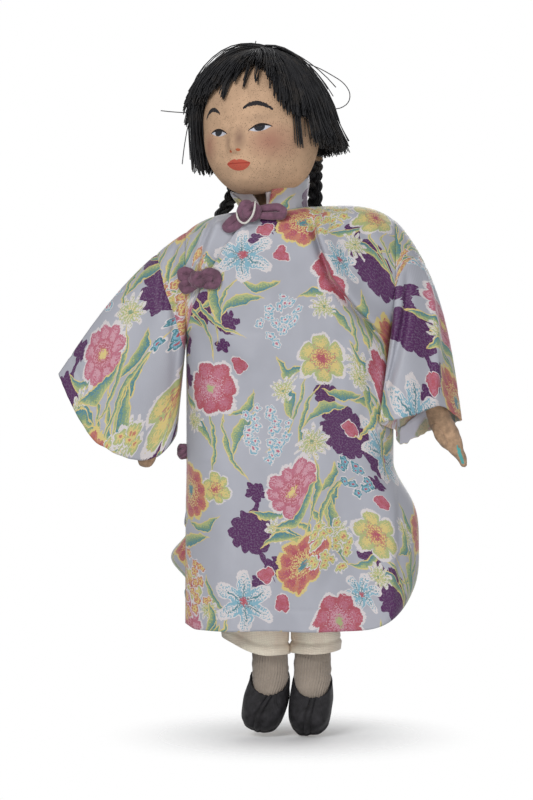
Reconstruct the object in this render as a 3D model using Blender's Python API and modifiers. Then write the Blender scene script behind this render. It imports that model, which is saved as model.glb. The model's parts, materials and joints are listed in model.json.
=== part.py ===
"""A cloth doll in a side-fastened flowered gown, built piece by piece.

The doll is upright, faces -Y and has its left side at +X. The origin is in the middle of the waist, where a
doll stand holds it. All sizes are in millimetres and become metres where a mesh is made.
"""
import bpy
import bmesh
from math import cos, pi, radians, sin, sqrt
from mathutils import Matrix, Vector

MM = 0.001

# Clearances and cloth
CLEAR = 0.3              # between two pieces that touch
SEAM_GAP = 0.7           # between two cloth edges that are sewn together
CLOTH = 0.9              # gown cloth with its turnings
COTTON = 0.8             # trouser cloth
KNIT = 0.7               # stocking knit

# Stuffed torso and neck
HIP_HALF_WIDTH = 24.5
WAIST_HALF_WIDTH = 22.0
CHEST_HALF_WIDTH = 27.0
SHOULDER_HALF_WIDTH = 39.0
TORSO_HALF_DEPTH = 13.5
SHOULDER_AXIS_Z = 78.0   # axis that the arms swing on, above the waist
TORSO_TOP_Z = 93.0
NECK_X = -7.0            # the doll leans to its right
NECK_RADIUS = 8.4
NECK_LENGTH = 24.0

# Head
HEAD_X = -12.0
HEAD_Y = -2.5
HEAD_RISE = 38.5         # head centre above the top of the torso
HEAD_HALF_WIDTH = 25.0
HEAD_HALF_DEPTH = 27.0
HEAD_UP = 31.5
HEAD_DOWN = 29.5
HEAD_TURN = -30.0        # degrees, towards the doll's right
HEAD_TILT = -7.0
NOSE_RISE = 2.6
JAW_FORWARD = 9.0        # chin ahead of the middle of the skull

# Thread hair and braids
HAIR_THICK = 3.4
HAIR_PART = 2.2          # degrees between two sections of hair
CROWN_ANGLE = 36.0       # degrees down from the crown
FRINGE_ANGLE = 64.0
SIDE_RIGHT_ANGLE = 130.0
SIDE_LEFT_ANGLE = 80.0
BACK_ANGLE = 114.0
FRINGE_HALF = 46.0       # degrees from the middle of the face to each end of the fringe
BACK_START = 88.0        # degrees round to where the back hair starts and ends
BACK_END = 256.0
BRAID_RADIUS = 3.1
BRAID_TIE_RADIUS = 0.8

# Arms and hands: how far each wrist hangs below the shoulder's axis and lies beyond the armhole's plane
ARM_BALL_RADIUS = 6.4
ARM_RADIUS = 5.8
WRIST_RADIUS = 4.4
HAND_RADIUS = 4.6
ARM_LENGTH_RIGHT = 75.5
ARM_SPREAD_RIGHT = 15.3
HAND_LENGTH_RIGHT = 17.0
ARM_LENGTH_LEFT = 69.5
ARM_SPREAD_LEFT = 18.8
HAND_LENGTH_LEFT = 22.6

# Legs, stockings and shoes
HIP_Z = -30.0            # axis that the legs swing on
HIP_BALL_RADIUS = 8.2
LEGS_APART = 2.0         # between the two thighs
KNEE_RADIUS = 7.2
ANKLE_RADIUS = 5.9
ANKLE_Z = -110.0
STOCKING_TOP_Z = -68.0
FOOT_LENGTH = 32.0
FOOT_HALF_WIDTH = 7.9
FOOT_DROP = 48.0         # degrees that the toe points down
TOE_OUT = 3.0            # degrees that the toe points outwards
FEET_GAP = 1.4           # between the two shoes
SHOE_WALL = 0.9
SOLE_THICK = 1.8
SOLE_LIP = 0.5           # sole beyond the upper

# Trousers
TROUSER_SPLIT = 1.0      # between the two legs of cloth
TROUSER_TOP_DROP = 14.0  # top of a trouser leg below the hip axis
TROUSER_CUFF_Z = -96.0
TROUSER_HALF_DEPTH = 10.6
CUFF_OUT_RIGHT = 28.5    # how far each cuff reaches from the middle
CUFF_OUT_LEFT = 21.5
TROUSER_TOP_OUT = 21.5   # how far each leg of cloth reaches at its top
SEAT_DROP = 19.0         # lower edge of the seat below the waist
WAISTBAND_Z = 10.0

# Gown
ARMHOLE_X = 45.0         # planes that part the gown from its sleeves
ARMHOLE_TOP_Z = SHOULDER_AXIS_Z + 10.0
ARMPIT_Z = SHOULDER_AXIS_Z - 37.0
ARMHOLE_HALF_DEPTH = 13.0
SHOULDER_LINE_Z = TORSO_TOP_Z + 3.5
SHOULDER_LINE_TILT = 0.06
SHOULDER_LINE_DROP = 7.5
GOWN_HALF_DEPTH = 24.5
GOWN_HALF_WIDTH = 44.8
SLIT_Z = -13.0           # tops of the side slits
SKIRT_LENGTH = 71.5
SKIRT_CORNER_RISE = 15.0
SKIRT_FLARE = 2.5
BACK_FLARE_RIGHT = 7.0
BACK_FLARE_LEFT = 10.5
FOLD_DEPTH = 1.6
COLLAR_RADIUS = 15.2
COLLAR_FLARE = 4.0
COLLAR_HEIGHT = 13.5
COLLAR_OPEN = (5.0, 42.0)   # degrees from the middle of the throat to each edge, at the base and the top
COLLAR_TURN = (-14.0, -31.0)  # degrees round to the middle of the throat, at the base and the top
COLLAR_TILT = 0.13
LINING = 0.7

# Sleeves: each cuff corner beyond the armhole's plane and below the armhole's top
CUFF_RIGHT_OUT = (55.5, 63.0)
CUFF_RIGHT_IN = (3.8, 80.0)
CUFF_RIGHT_DROP = 27.5
CUFF_RIGHT_HALF_DEPTH = 13.0
SLEEVE_RIGHT_BULGE = 5.0
CUFF_LEFT_OUT = (29.0, 82.0)
CUFF_LEFT_IN = (1.2, 85.0)
CUFF_LEFT_DROP = 1.0
CUFF_LEFT_HALF_DEPTH = 20.0
SLEEVE_LEFT_BULGE = 8.5

# Knotted cord closures
KNOT_RADIUS = 3.9
CORD_THICK = 1.7
THREAD_RADIUS = 0.5
THROAT_KNOT = (NECK_X - 8.0, SHOULDER_LINE_Z - 4.0)
CHEST_KNOT = (4.8 - GOWN_HALF_WIDTH, ARMPIT_Z + 24.0)


def material(name, colour, roughness, metallic=0.0):
    made = bpy.data.materials.new(name)
    made.use_nodes = True
    shader = made.node_tree.nodes["Principled BSDF"]
    shader.inputs["Base Color"].default_value = (*colour, 1.0)
    shader.inputs["Roughness"].default_value = roughness
    shader.inputs["Metallic"].default_value = metallic
    return made


def mix(a, b, share):
    return a + (b - a) * share


def smooth(share):
    share = min(max(share, 0.0), 1.0)
    return share * share * (3.0 - 2.0 * share)


def along(table, place):
    """Read a table of (place, value, value ...) rows at a place between them."""
    for low, high in zip(table, table[1:]):
        if place <= high[0]:
            share = (place - low[0]) / (high[0] - low[0])
            return [mix(a, b, share) for a, b in zip(low[1:], high[1:])]
    return list(table[-1][1:])


def ellipse(centre, half_x, half_y, sides, slope=0.0):
    """One level ring, which may tip up towards the back."""
    points = []
    for step in range(sides):
        angle = 2.0 * pi * step / sides
        y = half_y * sin(angle)
        points.append(Vector((centre[0] + half_x * cos(angle), centre[1] + y, centre[2] + slope * y)))
    return points


def tube_rings(path, radii, sides):
    """Round rings square to a path of points."""
    rings = []
    for index, point in enumerate(path):
        ahead = path[min(index + 1, len(path) - 1)] - path[max(index - 1, 0)]
        turn = ahead.to_track_quat("Z", "Y")
        ring = []
        for step in range(sides):
            angle = 2.0 * pi * step / sides
            offset = Vector((radii[index] * cos(angle), radii[index] * sin(angle), 0.0))
            ring.append(point + turn @ offset)
        rings.append(ring)
    return rings


def loft(rings, closed=True, capped=True):
    """Skin a row of rings, as a closed body or as an open sheet."""
    bm = bmesh.new()
    rows = [[bm.verts.new(point) for point in ring] for ring in rings]
    count = len(rows[0])
    for low, high in zip(rows, rows[1:]):
        for step in range(count if closed else count - 1):
            after = (step + 1) % count
            bm.faces.new((low[step], low[after], high[after], high[step]))
    if closed and capped:
        bm.faces.new(reversed(rows[0]))
        bm.faces.new(rows[-1])
        bmesh.ops.recalc_face_normals(bm, faces=bm.faces)
    return bm


def cylinder(start, end, radius, sides):
    return loft(tube_rings([Vector(start), Vector(end)], [radius, radius], sides))


def ball(centre, radii, sides, rows):
    bm = bmesh.new()
    bmesh.ops.create_uvsphere(bm, u_segments=sides, v_segments=rows, radius=1.0)
    bmesh.ops.scale(bm, verts=bm.verts, vec=Vector(radii))
    bmesh.ops.translate(bm, verts=bm.verts, vec=Vector(centre))
    return bm


def torus(centre, radius, section, turn_axis, turn=90.0):
    """A ring that lies level, then is turned about an axis through its middle."""
    rings = []
    for step in range(17):
        angle = 2.0 * pi * (step % 16) / 16.0
        ring = []
        for part in range(6):
            out = radius + section * cos(part * pi / 3.0)
            ring.append(Vector((out * cos(angle), out * sin(angle), section * sin(part * pi / 3.0))))
        rings.append(ring)
    bm = loft(rings, capped=False)
    bmesh.ops.remove_doubles(bm, verts=bm.verts, dist=0.001)
    bmesh.ops.recalc_face_normals(bm, faces=bm.faces)
    place = Matrix.Translation(Vector(centre)) @ Matrix.Rotation(radians(turn), 4, turn_axis)
    bmesh.ops.transform(bm, matrix=place, verts=bm.verts)
    return bm


class Doll:
    """The collections, the joint empties and the pieces made so far."""

    def __init__(self):
        for thing in list(bpy.data.objects):
            bpy.data.objects.remove(thing)
        self.parts = bpy.data.collections.new("cloth_doll")
        self.cutters = bpy.data.collections.new("cutters")
        self.cutters.hide_render = True
        bpy.context.scene.collection.children.link(self.parts)
        bpy.context.scene.collection.children.link(self.cutters)
        self.pivots = {}
        self.made = {}

    def pivot(self, name, place):
        empty = bpy.data.objects.new("joint_" + name, None)
        empty.location = Vector(place) * MM
        empty.empty_display_size = 0.01
        self.parts.objects.link(empty)
        self.pivots[name] = empty
        print("pivot", name, [round(value * MM, 5) for value in place])

    def piece(self, name, bm, look, pivot):
        """Make a piece from a body drawn in doll coordinates and hang it on its joint's empty."""
        holder = self.pivots[pivot]
        bmesh.ops.scale(bm, verts=bm.verts, vec=Vector((MM, MM, MM)))
        bmesh.ops.translate(bm, verts=bm.verts, vec=-holder.location)
        for face in bm.faces:
            face.smooth = True
        mesh = bpy.data.meshes.new(name)
        bm.to_mesh(mesh)
        bm.free()
        mesh.materials.append(look)
        thing = bpy.data.objects.new(name, mesh)
        thing.parent = holder
        self.parts.objects.link(thing)
        self.made[name] = thing
        return thing

    def cutter(self, name, bm):
        bmesh.ops.scale(bm, verts=bm.verts, vec=Vector((MM, MM, MM)))
        mesh = bpy.data.meshes.new(name)
        bm.to_mesh(mesh)
        bm.free()
        thing = bpy.data.objects.new(name, mesh)
        thing.display_type = "WIRE"
        thing.hide_render = True
        self.cutters.objects.link(thing)
        return thing


def thicken(thing, thickness, offset=0.0):
    shell = thing.modifiers.new("cloth", "SOLIDIFY")
    shell.thickness = thickness * MM
    shell.offset = offset
    shell.use_even_offset = False


def boolean(thing, cutter, operation="DIFFERENCE"):
    cut = thing.modifiers.new(cutter.name, "BOOLEAN")
    cut.operation = operation
    cut.solver = "EXACT"
    cut.object = cutter


# Body

def lean(z):
    """How far the middle of the torso is off the centre plane at a height."""
    low = SHOULDER_AXIS_Z - 12.0
    return NECK_X * smooth((z - low) / (TORSO_TOP_Z - low))


def make_torso(doll, cloth):
    bottom = HIP_Z + HIP_BALL_RADIUS + CLEAR
    sections = [
        (bottom, HIP_HALF_WIDTH * 0.72, TORSO_HALF_DEPTH * 0.62),
        (bottom + 3.5, HIP_HALF_WIDTH * 0.95, TORSO_HALF_DEPTH * 0.92),
        (bottom + 11.0, HIP_HALF_WIDTH, TORSO_HALF_DEPTH),
        (SHOULDER_AXIS_Z * 0.1, WAIST_HALF_WIDTH, TORSO_HALF_DEPTH * 0.95),
        (SHOULDER_AXIS_Z * 0.44, CHEST_HALF_WIDTH * 0.92, TORSO_HALF_DEPTH),
        (SHOULDER_AXIS_Z * 0.74, CHEST_HALF_WIDTH, TORSO_HALF_DEPTH),
        (SHOULDER_AXIS_Z - 9.0, SHOULDER_HALF_WIDTH * 0.9, TORSO_HALF_DEPTH * 0.92),
        (SHOULDER_AXIS_Z, SHOULDER_HALF_WIDTH, TORSO_HALF_DEPTH * 0.86),
        (SHOULDER_AXIS_Z + 7.5, SHOULDER_HALF_WIDTH * 0.76, TORSO_HALF_DEPTH * 0.8),
        (TORSO_TOP_Z - 2.0, NECK_RADIUS * 1.75, TORSO_HALF_DEPTH * 0.74),
        (TORSO_TOP_Z, NECK_RADIUS * 1.2, NECK_RADIUS * 1.05),
    ]
    rings = [ellipse((lean(z), 0.0, z), half_x, half_y, 24) for z, half_x, half_y in sections]
    torso = doll.piece("torso", loft(rings), cloth, "waist")
    for side, name in ((-1.0, "right"), (1.0, "left")):
        socket = ball((side * arm_ball_x(), 0.0, SHOULDER_AXIS_Z), [ARM_BALL_RADIUS + CLEAR * 2.0] * 3, 20, 12)
        boolean(torso, doll.cutter("shoulder_socket_" + name, socket))
    neck_sections = [
        (TORSO_TOP_Z + CLEAR, 1.06),
        (TORSO_TOP_Z + NECK_LENGTH * 0.35, 0.96),
        (TORSO_TOP_Z + NECK_LENGTH * 0.9, 0.96),
        (TORSO_TOP_Z + NECK_LENGTH, 0.8),
    ]
    rings = []
    for z, share in neck_sections:
        rings.append(ellipse((NECK_X, 0.0, z), NECK_RADIUS * share, NECK_RADIUS * share, 16))
    doll.piece("neck", loft(rings), cloth, "waist")


def arm_ball_x():
    """Distance of a shoulder's ball from the centre plane: inside the armhole's plane."""
    return ARMHOLE_X - ARM_BALL_RADIUS + 3.4


def arm_paths(side):
    """Centre lines of an arm and its hand, from the shoulder to the fingertip, with their radii."""
    start = side * arm_ball_x()
    if side < 0.0:
        spread, length, reach = ARM_SPREAD_RIGHT, ARM_LENGTH_RIGHT, HAND_LENGTH_RIGHT
        arm_rows = [(0.2, 0.0, 0.04), (0.46, 0.0, 0.19), (0.72, 0.0, 0.5), (0.935, 0.0, 0.875), (1.0, 0.0, 1.0)]
        hand_rows = [(0.1, 0.0, 0.0), (0.7, -0.5, 0.31), (1.7, -1.0, 0.635), (2.3, -1.0, 0.9), (2.5, -1.0, 1.0)]
        hand_radii = [0.94, 1.0, 1.0, 0.8, 0.4]
    else:
        spread, length, reach = ARM_SPREAD_LEFT, ARM_LENGTH_LEFT, HAND_LENGTH_LEFT
        arm_rows = [(0.18, 0.0, 0.05), (0.38, 0.0, 0.215), (0.605, 0.0, 0.547), (0.87, -1.0, 0.863),
                    (1.0, -2.0, 1.0)]
        hand_rows = [(0.2, -2.0, 0.0), (2.4, -3.0, 0.248), (6.2, -4.0, 0.513), (10.4, -5.0, 0.867),
                     (11.5, -5.0, 1.0)]
        hand_radii = [0.92, 1.02, 0.96, 0.52, 0.3]
    arm = [(side * (ARMHOLE_X + spread * out), y, SHOULDER_AXIS_Z - length * down) for out, y, down in arm_rows]
    wrist = ARMHOLE_X + spread
    top = SHOULDER_AXIS_Z - length - CLEAR * 3.0
    hand = [(side * (wrist + out), y, top - reach * down) for out, y, down in hand_rows]
    arm_radii = [ARM_BALL_RADIUS * 0.98, ARM_RADIUS * 1.05, ARM_RADIUS, ARM_RADIUS * 0.86, WRIST_RADIUS]
    ball_rows = []
    for angle in (-78.0, -48.0, -15.0):
        place = start + side * ARM_BALL_RADIUS * sin(radians(angle))
        ball_rows.append(((place, 0.0, SHOULDER_AXIS_Z), ARM_BALL_RADIUS * cos(radians(angle))))
    path = [Vector(point) for point, radius in ball_rows] + [Vector(point) for point in arm]
    radii = [radius for point, radius in ball_rows] + arm_radii
    return path, radii, [Vector(point) for point in hand], [HAND_RADIUS * share for share in hand_radii]


def make_arms(doll, cloth, skin):
    for side, name in ((-1.0, "right"), (1.0, "left")):
        path, radii, hand, hand_radii = arm_paths(side)
        doll.piece("arm_" + name, loft(tube_rings(path, radii, 14)), cloth, "shoulder_" + name)
        doll.piece("hand_" + name, loft(tube_rings(hand, hand_radii, 12)), skin, "shoulder_" + name)


def leg_x(side, z):
    """Middle of a leg at a height: from the hip's ball out to the foot."""
    hip = HIP_BALL_RADIUS + LEGS_APART / 2.0
    foot = FOOT_HALF_WIDTH + CLEAR + SHOE_WALL + SOLE_LIP + FEET_GAP / 2.0
    return side * mix(foot, hip, smooth((z - ANKLE_Z) / (HIP_Z - ANKLE_Z)))


def leg_radius(z):
    table = [
        (ANKLE_Z - 10.0, ANKLE_RADIUS * 0.96),
        (ANKLE_Z + 6.0, ANKLE_RADIUS),
        (mix(ANKLE_Z, HIP_Z, 0.45), KNEE_RADIUS * 0.94),
        (mix(ANKLE_Z, HIP_Z, 0.7), KNEE_RADIUS),
        (HIP_Z, HIP_BALL_RADIUS * 0.97),
    ]
    return along(table, z)[0]


CALF_Z = mix(ANKLE_Z, STOCKING_TOP_Z, 0.52)
THIGH_Z = mix(STOCKING_TOP_Z, HIP_Z, 0.5)
LEG_HEIGHTS = [ANKLE_Z + 5.0, ANKLE_Z + 12.0, CALF_Z, STOCKING_TOP_Z, THIGH_Z, HIP_Z - HIP_BALL_RADIUS]


def leg_rings(side, heights, grow, sides):
    rings = []
    for z in heights:
        radius = leg_radius(z) + grow
        rings.append(ellipse((leg_x(side, z), 0.0, z), radius, radius, sides))
    return rings


def foot_frame(side):
    """Foot space: x across, y from the heel to the toe (minus), z out of the sole, turned down at the toe."""
    place = Matrix.Translation(Vector((leg_x(side, ANKLE_Z), 0.0, ANKLE_Z)))
    drop = Matrix.Rotation(radians(FOOT_DROP), 4, "X")
    return place @ drop @ Matrix.Rotation(radians(TOE_OUT * side), 4, "Z")


# Foot sections: height over the sole, then toe and heel as shares of the foot's length, and width as a share
FOOT_SECTIONS = [
    (0.0, 0.66, 0.27, 0.88),
    (3.0, 0.69, 0.31, 1.0),
    (6.5, 0.65, 0.31, 0.99),
    (9.5, 0.52, 0.33, 0.93),
]
SOLE_DROP = -9.2         # sole's face in foot space, below the ankle's centre
TOPLINE_RISE = 3.8       # middle of a shoe's top edge above the ankle's centre
TOPLINE_SLOPE = 0.69
TOPLINE_Y = -0.85


def foot_ring(side, row, grow, sides, lift=0.0):
    """One ring round the foot, egg-shaped and wider ahead of the ankle."""
    height, toe, heel, width = row
    toe_y = -toe * FOOT_LENGTH - grow
    heel_y = heel * FOOT_LENGTH + grow
    half = width * FOOT_HALF_WIDTH + grow
    points = []
    frame = foot_frame(side)
    for step in range(sides):
        angle = 2.0 * pi * step / sides
        across = half * cos(angle) * (1.0 - 0.12 * sin(angle))
        length = mix(toe_y, heel_y, 0.5 + 0.5 * sin(angle))
        points.append(frame @ Vector((across, length, SOLE_DROP + height + lift)))
    return points


def make_legs(doll, cloth, knit, black, sole_look):
    for side, name in ((-1.0, "right"), (1.0, "left")):
        pivot = "hip_" + name
        rings = leg_rings(side, LEG_HEIGHTS, 0.0, 14)
        for angle in (5.0, 35.0, 62.0, 80.0):
            height = HIP_Z + HIP_BALL_RADIUS * sin(radians(angle))
            radius = HIP_BALL_RADIUS * cos(radians(angle))
            rings.append(ellipse((leg_x(side, HIP_Z), 0.0, height), radius, radius, 14))
        doll.piece("leg_" + name, loft(rings), cloth, pivot)

        knit_grow = CLEAR + KNIT
        stocking = [foot_ring(side, row, 0.0, 16) for row in FOOT_SECTIONS]
        instep = ANKLE_RADIUS + knit_grow
        stocking.append(ellipse((leg_x(side, ANKLE_Z), 0.0, ANKLE_Z + 8.5), instep, instep, 16, 0.445))
        stocking += leg_rings(side, [ANKLE_Z + 17.0, CALF_Z, STOCKING_TOP_Z], knit_grow, 16)
        knit_piece = doll.piece("stocking_" + name, loft(stocking), knit, pivot)
        inside = leg_rings(side, LEG_HEIGHTS, CLEAR, 14)
        for point in inside[0]:
            point.z -= CLEAR
        for point in inside[-1]:
            point.z += 12.0
        boolean(knit_piece, doll.cutter("stocking_bore_" + name, loft(inside)))

        grow = CLEAR + SHOE_WALL / 2.0
        wall = [foot_ring(side, row, grow, 16) for row in FOOT_SECTIONS]
        wall[-1] = foot_ring(side, FOOT_SECTIONS[-1], grow + CLEAR, 16)
        topline = (leg_x(side, ANKLE_Z), TOPLINE_Y, ANKLE_Z + TOPLINE_RISE)
        half = FOOT_SECTIONS[-1][3] * FOOT_HALF_WIDTH + grow
        wall.append(ellipse(topline, half, half + 1.3, 16, TOPLINE_SLOPE))
        upper = doll.piece("shoe_upper_" + name, loft(wall, capped=False), black, pivot)
        thicken(upper, SHOE_WALL)

        rim = CLEAR + SHOE_WALL + SOLE_LIP
        base = (0.0,) + FOOT_SECTIONS[0][1:]
        sole_top = foot_ring(side, base, rim, 20, -CLEAR - SHOE_WALL * 0.35)
        sole_bottom = foot_ring(side, base, rim, 20, -CLEAR - SHOE_WALL * 0.35 - SOLE_THICK)
        doll.piece("shoe_sole_" + name, loft([sole_bottom, sole_top]), sole_look, pivot)


# Head and hair

def head_place():
    centre = Vector((HEAD_X, HEAD_Y, TORSO_TOP_Z + HEAD_RISE))
    turn = Matrix.Rotation(radians(HEAD_TURN), 4, "Z")
    tilt = Matrix.Rotation(radians(HEAD_TILT), 4, "Y")
    return Matrix.Translation(centre) @ turn @ tilt


def head_point(azimuth, polar):
    """A point on the mask head in head space, with its jaw, chin, cheeks and nose."""
    level = cos(polar)
    low = max(0.0, -level)
    front = max(0.0, cos(azimuth))
    reach = sin(polar) ** (1.0 - 0.2 * low)
    x = HEAD_HALF_WIDTH * reach * sin(azimuth) * (1.0 - 0.1 * low * low)
    y = -HEAD_HALF_DEPTH * reach * cos(azimuth) * (1.0 - 0.1 * low)
    z = (HEAD_UP if level > 0.0 else HEAD_DOWN) * level
    y -= JAW_FORWARD * low + 2.2 * front * front * low * reach
    nose = max(0.0, 1.0 - abs(azimuth) / 0.35) * max(0.0, 1.0 - abs(polar - 1.84) / 0.4)
    y -= NOSE_RISE * nose
    return Vector((x, y, z))


def hair_point(azimuth, polar, lift):
    """A point on the hair: over the skull, then straight down below its widest level."""
    bend = min(polar, pi / 2.0)
    x = (HEAD_HALF_WIDTH + lift) * sin(bend) * sin(azimuth)
    y = -(HEAD_HALF_DEPTH + lift) * sin(bend) * cos(azimuth)
    z = (HEAD_UP + lift) * cos(bend)
    if polar > bend:
        z -= (polar - bend) * HEAD_DOWN * 0.8
    return Vector((x, y, z))


def hair_section(doll, name, start, end, low_start, low_end, columns, rows, look):
    """A sheet of hair between two azimuths, from the crown's edge down to its cut ends."""
    place = head_place()
    lift = CLEAR + HAIR_THICK / 2.0 + 0.4
    lines = []
    for row in range(rows + 1):
        line = []
        for column in range(columns + 1):
            share = column / columns
            azimuth = radians(mix(start, end, share))
            polar = radians(mix(CROWN_ANGLE + HAIR_PART, mix(low_start, low_end, share), row / rows))
            line.append(place @ hair_point(azimuth, polar, lift))
        lines.append(line)
    sheet = doll.piece(name, loft(lines, closed=False), look, "neck")
    thicken(sheet, HAIR_THICK)


def make_head(doll, skin, hair, tie):
    place = head_place()
    rings = []
    for row in range(1, 16):
        polar = pi - pi * row / 16.0
        rings.append([place @ head_point(2.0 * pi * step / 24.0, polar) for step in range(24)])
    head = doll.piece("head", loft(rings), skin, "neck")
    top = TORSO_TOP_Z + NECK_LENGTH + CLEAR
    bore = cylinder((NECK_X, 0.0, TORSO_TOP_Z - 4.0), (NECK_X, 0.0, top), NECK_RADIUS + CLEAR, 16)
    boolean(head, doll.cutter("neck_bore", bore))

    lift = CLEAR + 0.4
    crown = []
    for grow, angles in ((lift, (4.0, 20.0, CROWN_ANGLE)), (lift + HAIR_THICK, (CROWN_ANGLE, 20.0, 4.0))):
        for angle in angles:
            steps = range(20)
            crown.append([place @ hair_point(2.0 * pi * step / 20.0, radians(angle), grow) for step in steps])
    doll.piece("hair_crown", loft(crown), hair, "neck")
    edge = HAIR_PART / 2.0
    half = FRINGE_HALF - edge
    hair_section(doll, "hair_fringe", -half, half, FRINGE_ANGLE, FRINGE_ANGLE, 6, 2, hair)
    hair_section(doll, "hair_side_right", BACK_END - 360.0 + edge, -FRINGE_HALF - edge, SIDE_RIGHT_ANGLE - 8.0,
                 SIDE_RIGHT_ANGLE, 4, 5, hair)
    hair_section(doll, "hair_side_left", FRINGE_HALF + edge, BACK_START - edge, SIDE_LEFT_ANGLE,
                 SIDE_LEFT_ANGLE + 10.0, 3, 3, hair)
    hair_section(doll, "hair_back", BACK_START + edge, BACK_END - edge, BACK_ANGLE,
                 BACK_ANGLE + 8.0, 10, 4, hair)

    rows = {
        "right": (246.0, [(0.0, 0.5, -4.0), (-4.0, 5.0, -12.0), (-6.0, 9.8, -23.0), (-6.3, 12.0, -35.0),
                          (-6.3, 12.3, -49.0), (-6.3, 12.3, -61.0)]),
        "left": (150.0, [(0.0, 0.5, -4.0), (-0.6, 8.5, -12.5), (-0.5, 12.7, -24.0), (-0.3, 17.6, -36.0),
                         (0.0, 18.6, -52.0), (0.0, 18.6, -64.0)]),
    }
    for name, (azimuth, steps) in rows.items():
        low = mix(BACK_ANGLE, BACK_ANGLE + 8.0, (azimuth - BACK_START) / (BACK_END - BACK_START))
        root = place @ hair_point(radians(azimuth), radians(low), CLEAR + HAIR_THICK / 2.0 + 0.4)
        root.z -= CLEAR * 2.0
        points = [root] + [root + Vector(step) for step in steps]
        path = []
        radii = []
        for low, high in zip(points, points[1:]):
            for share in (0.0, 0.5):
                path.append(Vector(low).lerp(Vector(high), share))
                radii.append(BRAID_RADIUS * (1.0 if share else 0.84))
        path.append(Vector(points[-1]))
        radii.append(BRAID_RADIUS * 0.45)
        radii[0] = BRAID_RADIUS * 0.7
        doll.piece("braid_" + name, loft(tube_rings(path, radii, 10)), hair, "neck")
        middle = path[0].lerp(path[1], 0.8)
        reach = mix(radii[0], radii[1], 0.8) + CLEAR + BRAID_TIE_RADIUS
        band = torus((0.0, 0.0, 0.0), reach, BRAID_TIE_RADIUS, "X", 0.0)
        turn = (path[1] - path[0]).to_track_quat("Z", "Y").to_matrix().to_4x4()
        bmesh.ops.transform(band, matrix=Matrix.Translation(middle) @ turn, verts=band.verts)
        doll.piece("braid_tie_" + name, band, tie, "neck")


# Trousers

def make_trousers(doll, cotton):
    bottom = -SEAT_DROP
    shell = CLEAR + COTTON / 2.0 + 0.3
    rings = []
    for z, grow in ((bottom, 0.0), (bottom + 8.0, 0.05), (0.0, 0.4), (WAISTBAND_Z, 0.0)):
        half_x = HIP_HALF_WIDTH + shell + grow
        half_y = TORSO_HALF_DEPTH + shell + grow
        rings.append(ellipse((lean(z), 0.0, z), half_x, half_y, 20))
    seat = doll.piece("trouser_seat", loft(rings, capped=False), cotton, "waist")
    thicken(seat, COTTON)
    for side, name, reach in ((-1.0, "right", CUFF_OUT_RIGHT), (1.0, "left", CUFF_OUT_LEFT)):
        inner = TROUSER_SPLIT / 2.0 + COTTON / 2.0
        top = HIP_Z - TROUSER_TOP_DROP
        rings = []
        for z, out, depth in (
            (TROUSER_CUFF_Z, reach, TROUSER_HALF_DEPTH * 0.94),
            (TROUSER_CUFF_Z + 12.0, reach * 0.98, TROUSER_HALF_DEPTH),
            (mix(TROUSER_CUFF_Z, top, 0.55), mix(reach, TROUSER_TOP_OUT + 0.5, 0.6), TROUSER_HALF_DEPTH),
            (top, TROUSER_TOP_OUT, TROUSER_HALF_DEPTH),
        ):
            middle = (inner + out) / 2.0
            rings.append(ellipse((side * middle, 0.0, z), (out - inner) / 2.0, depth, 20))
        leg = doll.piece("trouser_leg_" + name, loft(rings, capped=False), cotton, "hip_" + name)
        thicken(leg, COTTON)


# Gown

def shoulder_line(x):
    return SHOULDER_LINE_Z + SHOULDER_LINE_TILT * x - SHOULDER_LINE_DROP * (abs(x) / ARMHOLE_X) ** 5


def armhole_depth(z):
    middle = (ARMHOLE_TOP_Z + ARMPIT_Z) / 2.0
    half = (ARMHOLE_TOP_Z - ARMPIT_Z) / 2.0
    share = min(abs(z - middle) / half, 1.0)
    return ARMHOLE_HALF_DEPTH * sqrt(1.0 - share * share)


def bodice_point(face, across, down):
    """Gown above the slits: face is -1 in front and 1 behind, across runs -1 to 1, down runs 0 to 1."""
    x = across * mix(ARMHOLE_X, GOWN_HALF_WIDTH, smooth(down))
    z = mix(shoulder_line(x), SLIT_Z + SEAM_GAP / 2.0, down)
    edge = armhole_depth(z)
    shelf = min(down / 0.2, 1.0)
    depth = GOWN_HALF_DEPTH * (1.0 - (1.0 - shelf) ** 3) ** (1.0 / 3.0)
    depth = max(depth, edge)
    y = edge + (depth - edge) * sqrt(max(0.0, 1.0 - abs(across) ** 3.2))
    if face < 0.0:
        from_x = x - (ARMHOLE_X - 12.0)
        from_z = z - (ARMPIT_Z + 17.0)
        along_fold = from_x * 0.58 + from_z * 0.81
        off_fold = from_x * 0.81 + from_z * 0.58
        ridge = max(0.0, 1.0 - abs(off_fold) / 9.0) * max(0.0, 1.0 - abs(along_fold) / 24.0)
        y += FOLD_DEPTH * 1.5 * smooth(ridge) * (1.0 - abs(across) ** 6)
    y += FOLD_DEPTH * 0.5 * sin(across * 7.0 + 1.0) * smooth((down - 0.45) / 0.4) * (1.0 - abs(across) ** 4)
    return Vector((x, face * (SEAM_GAP / 2.0 + y), z))


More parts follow.
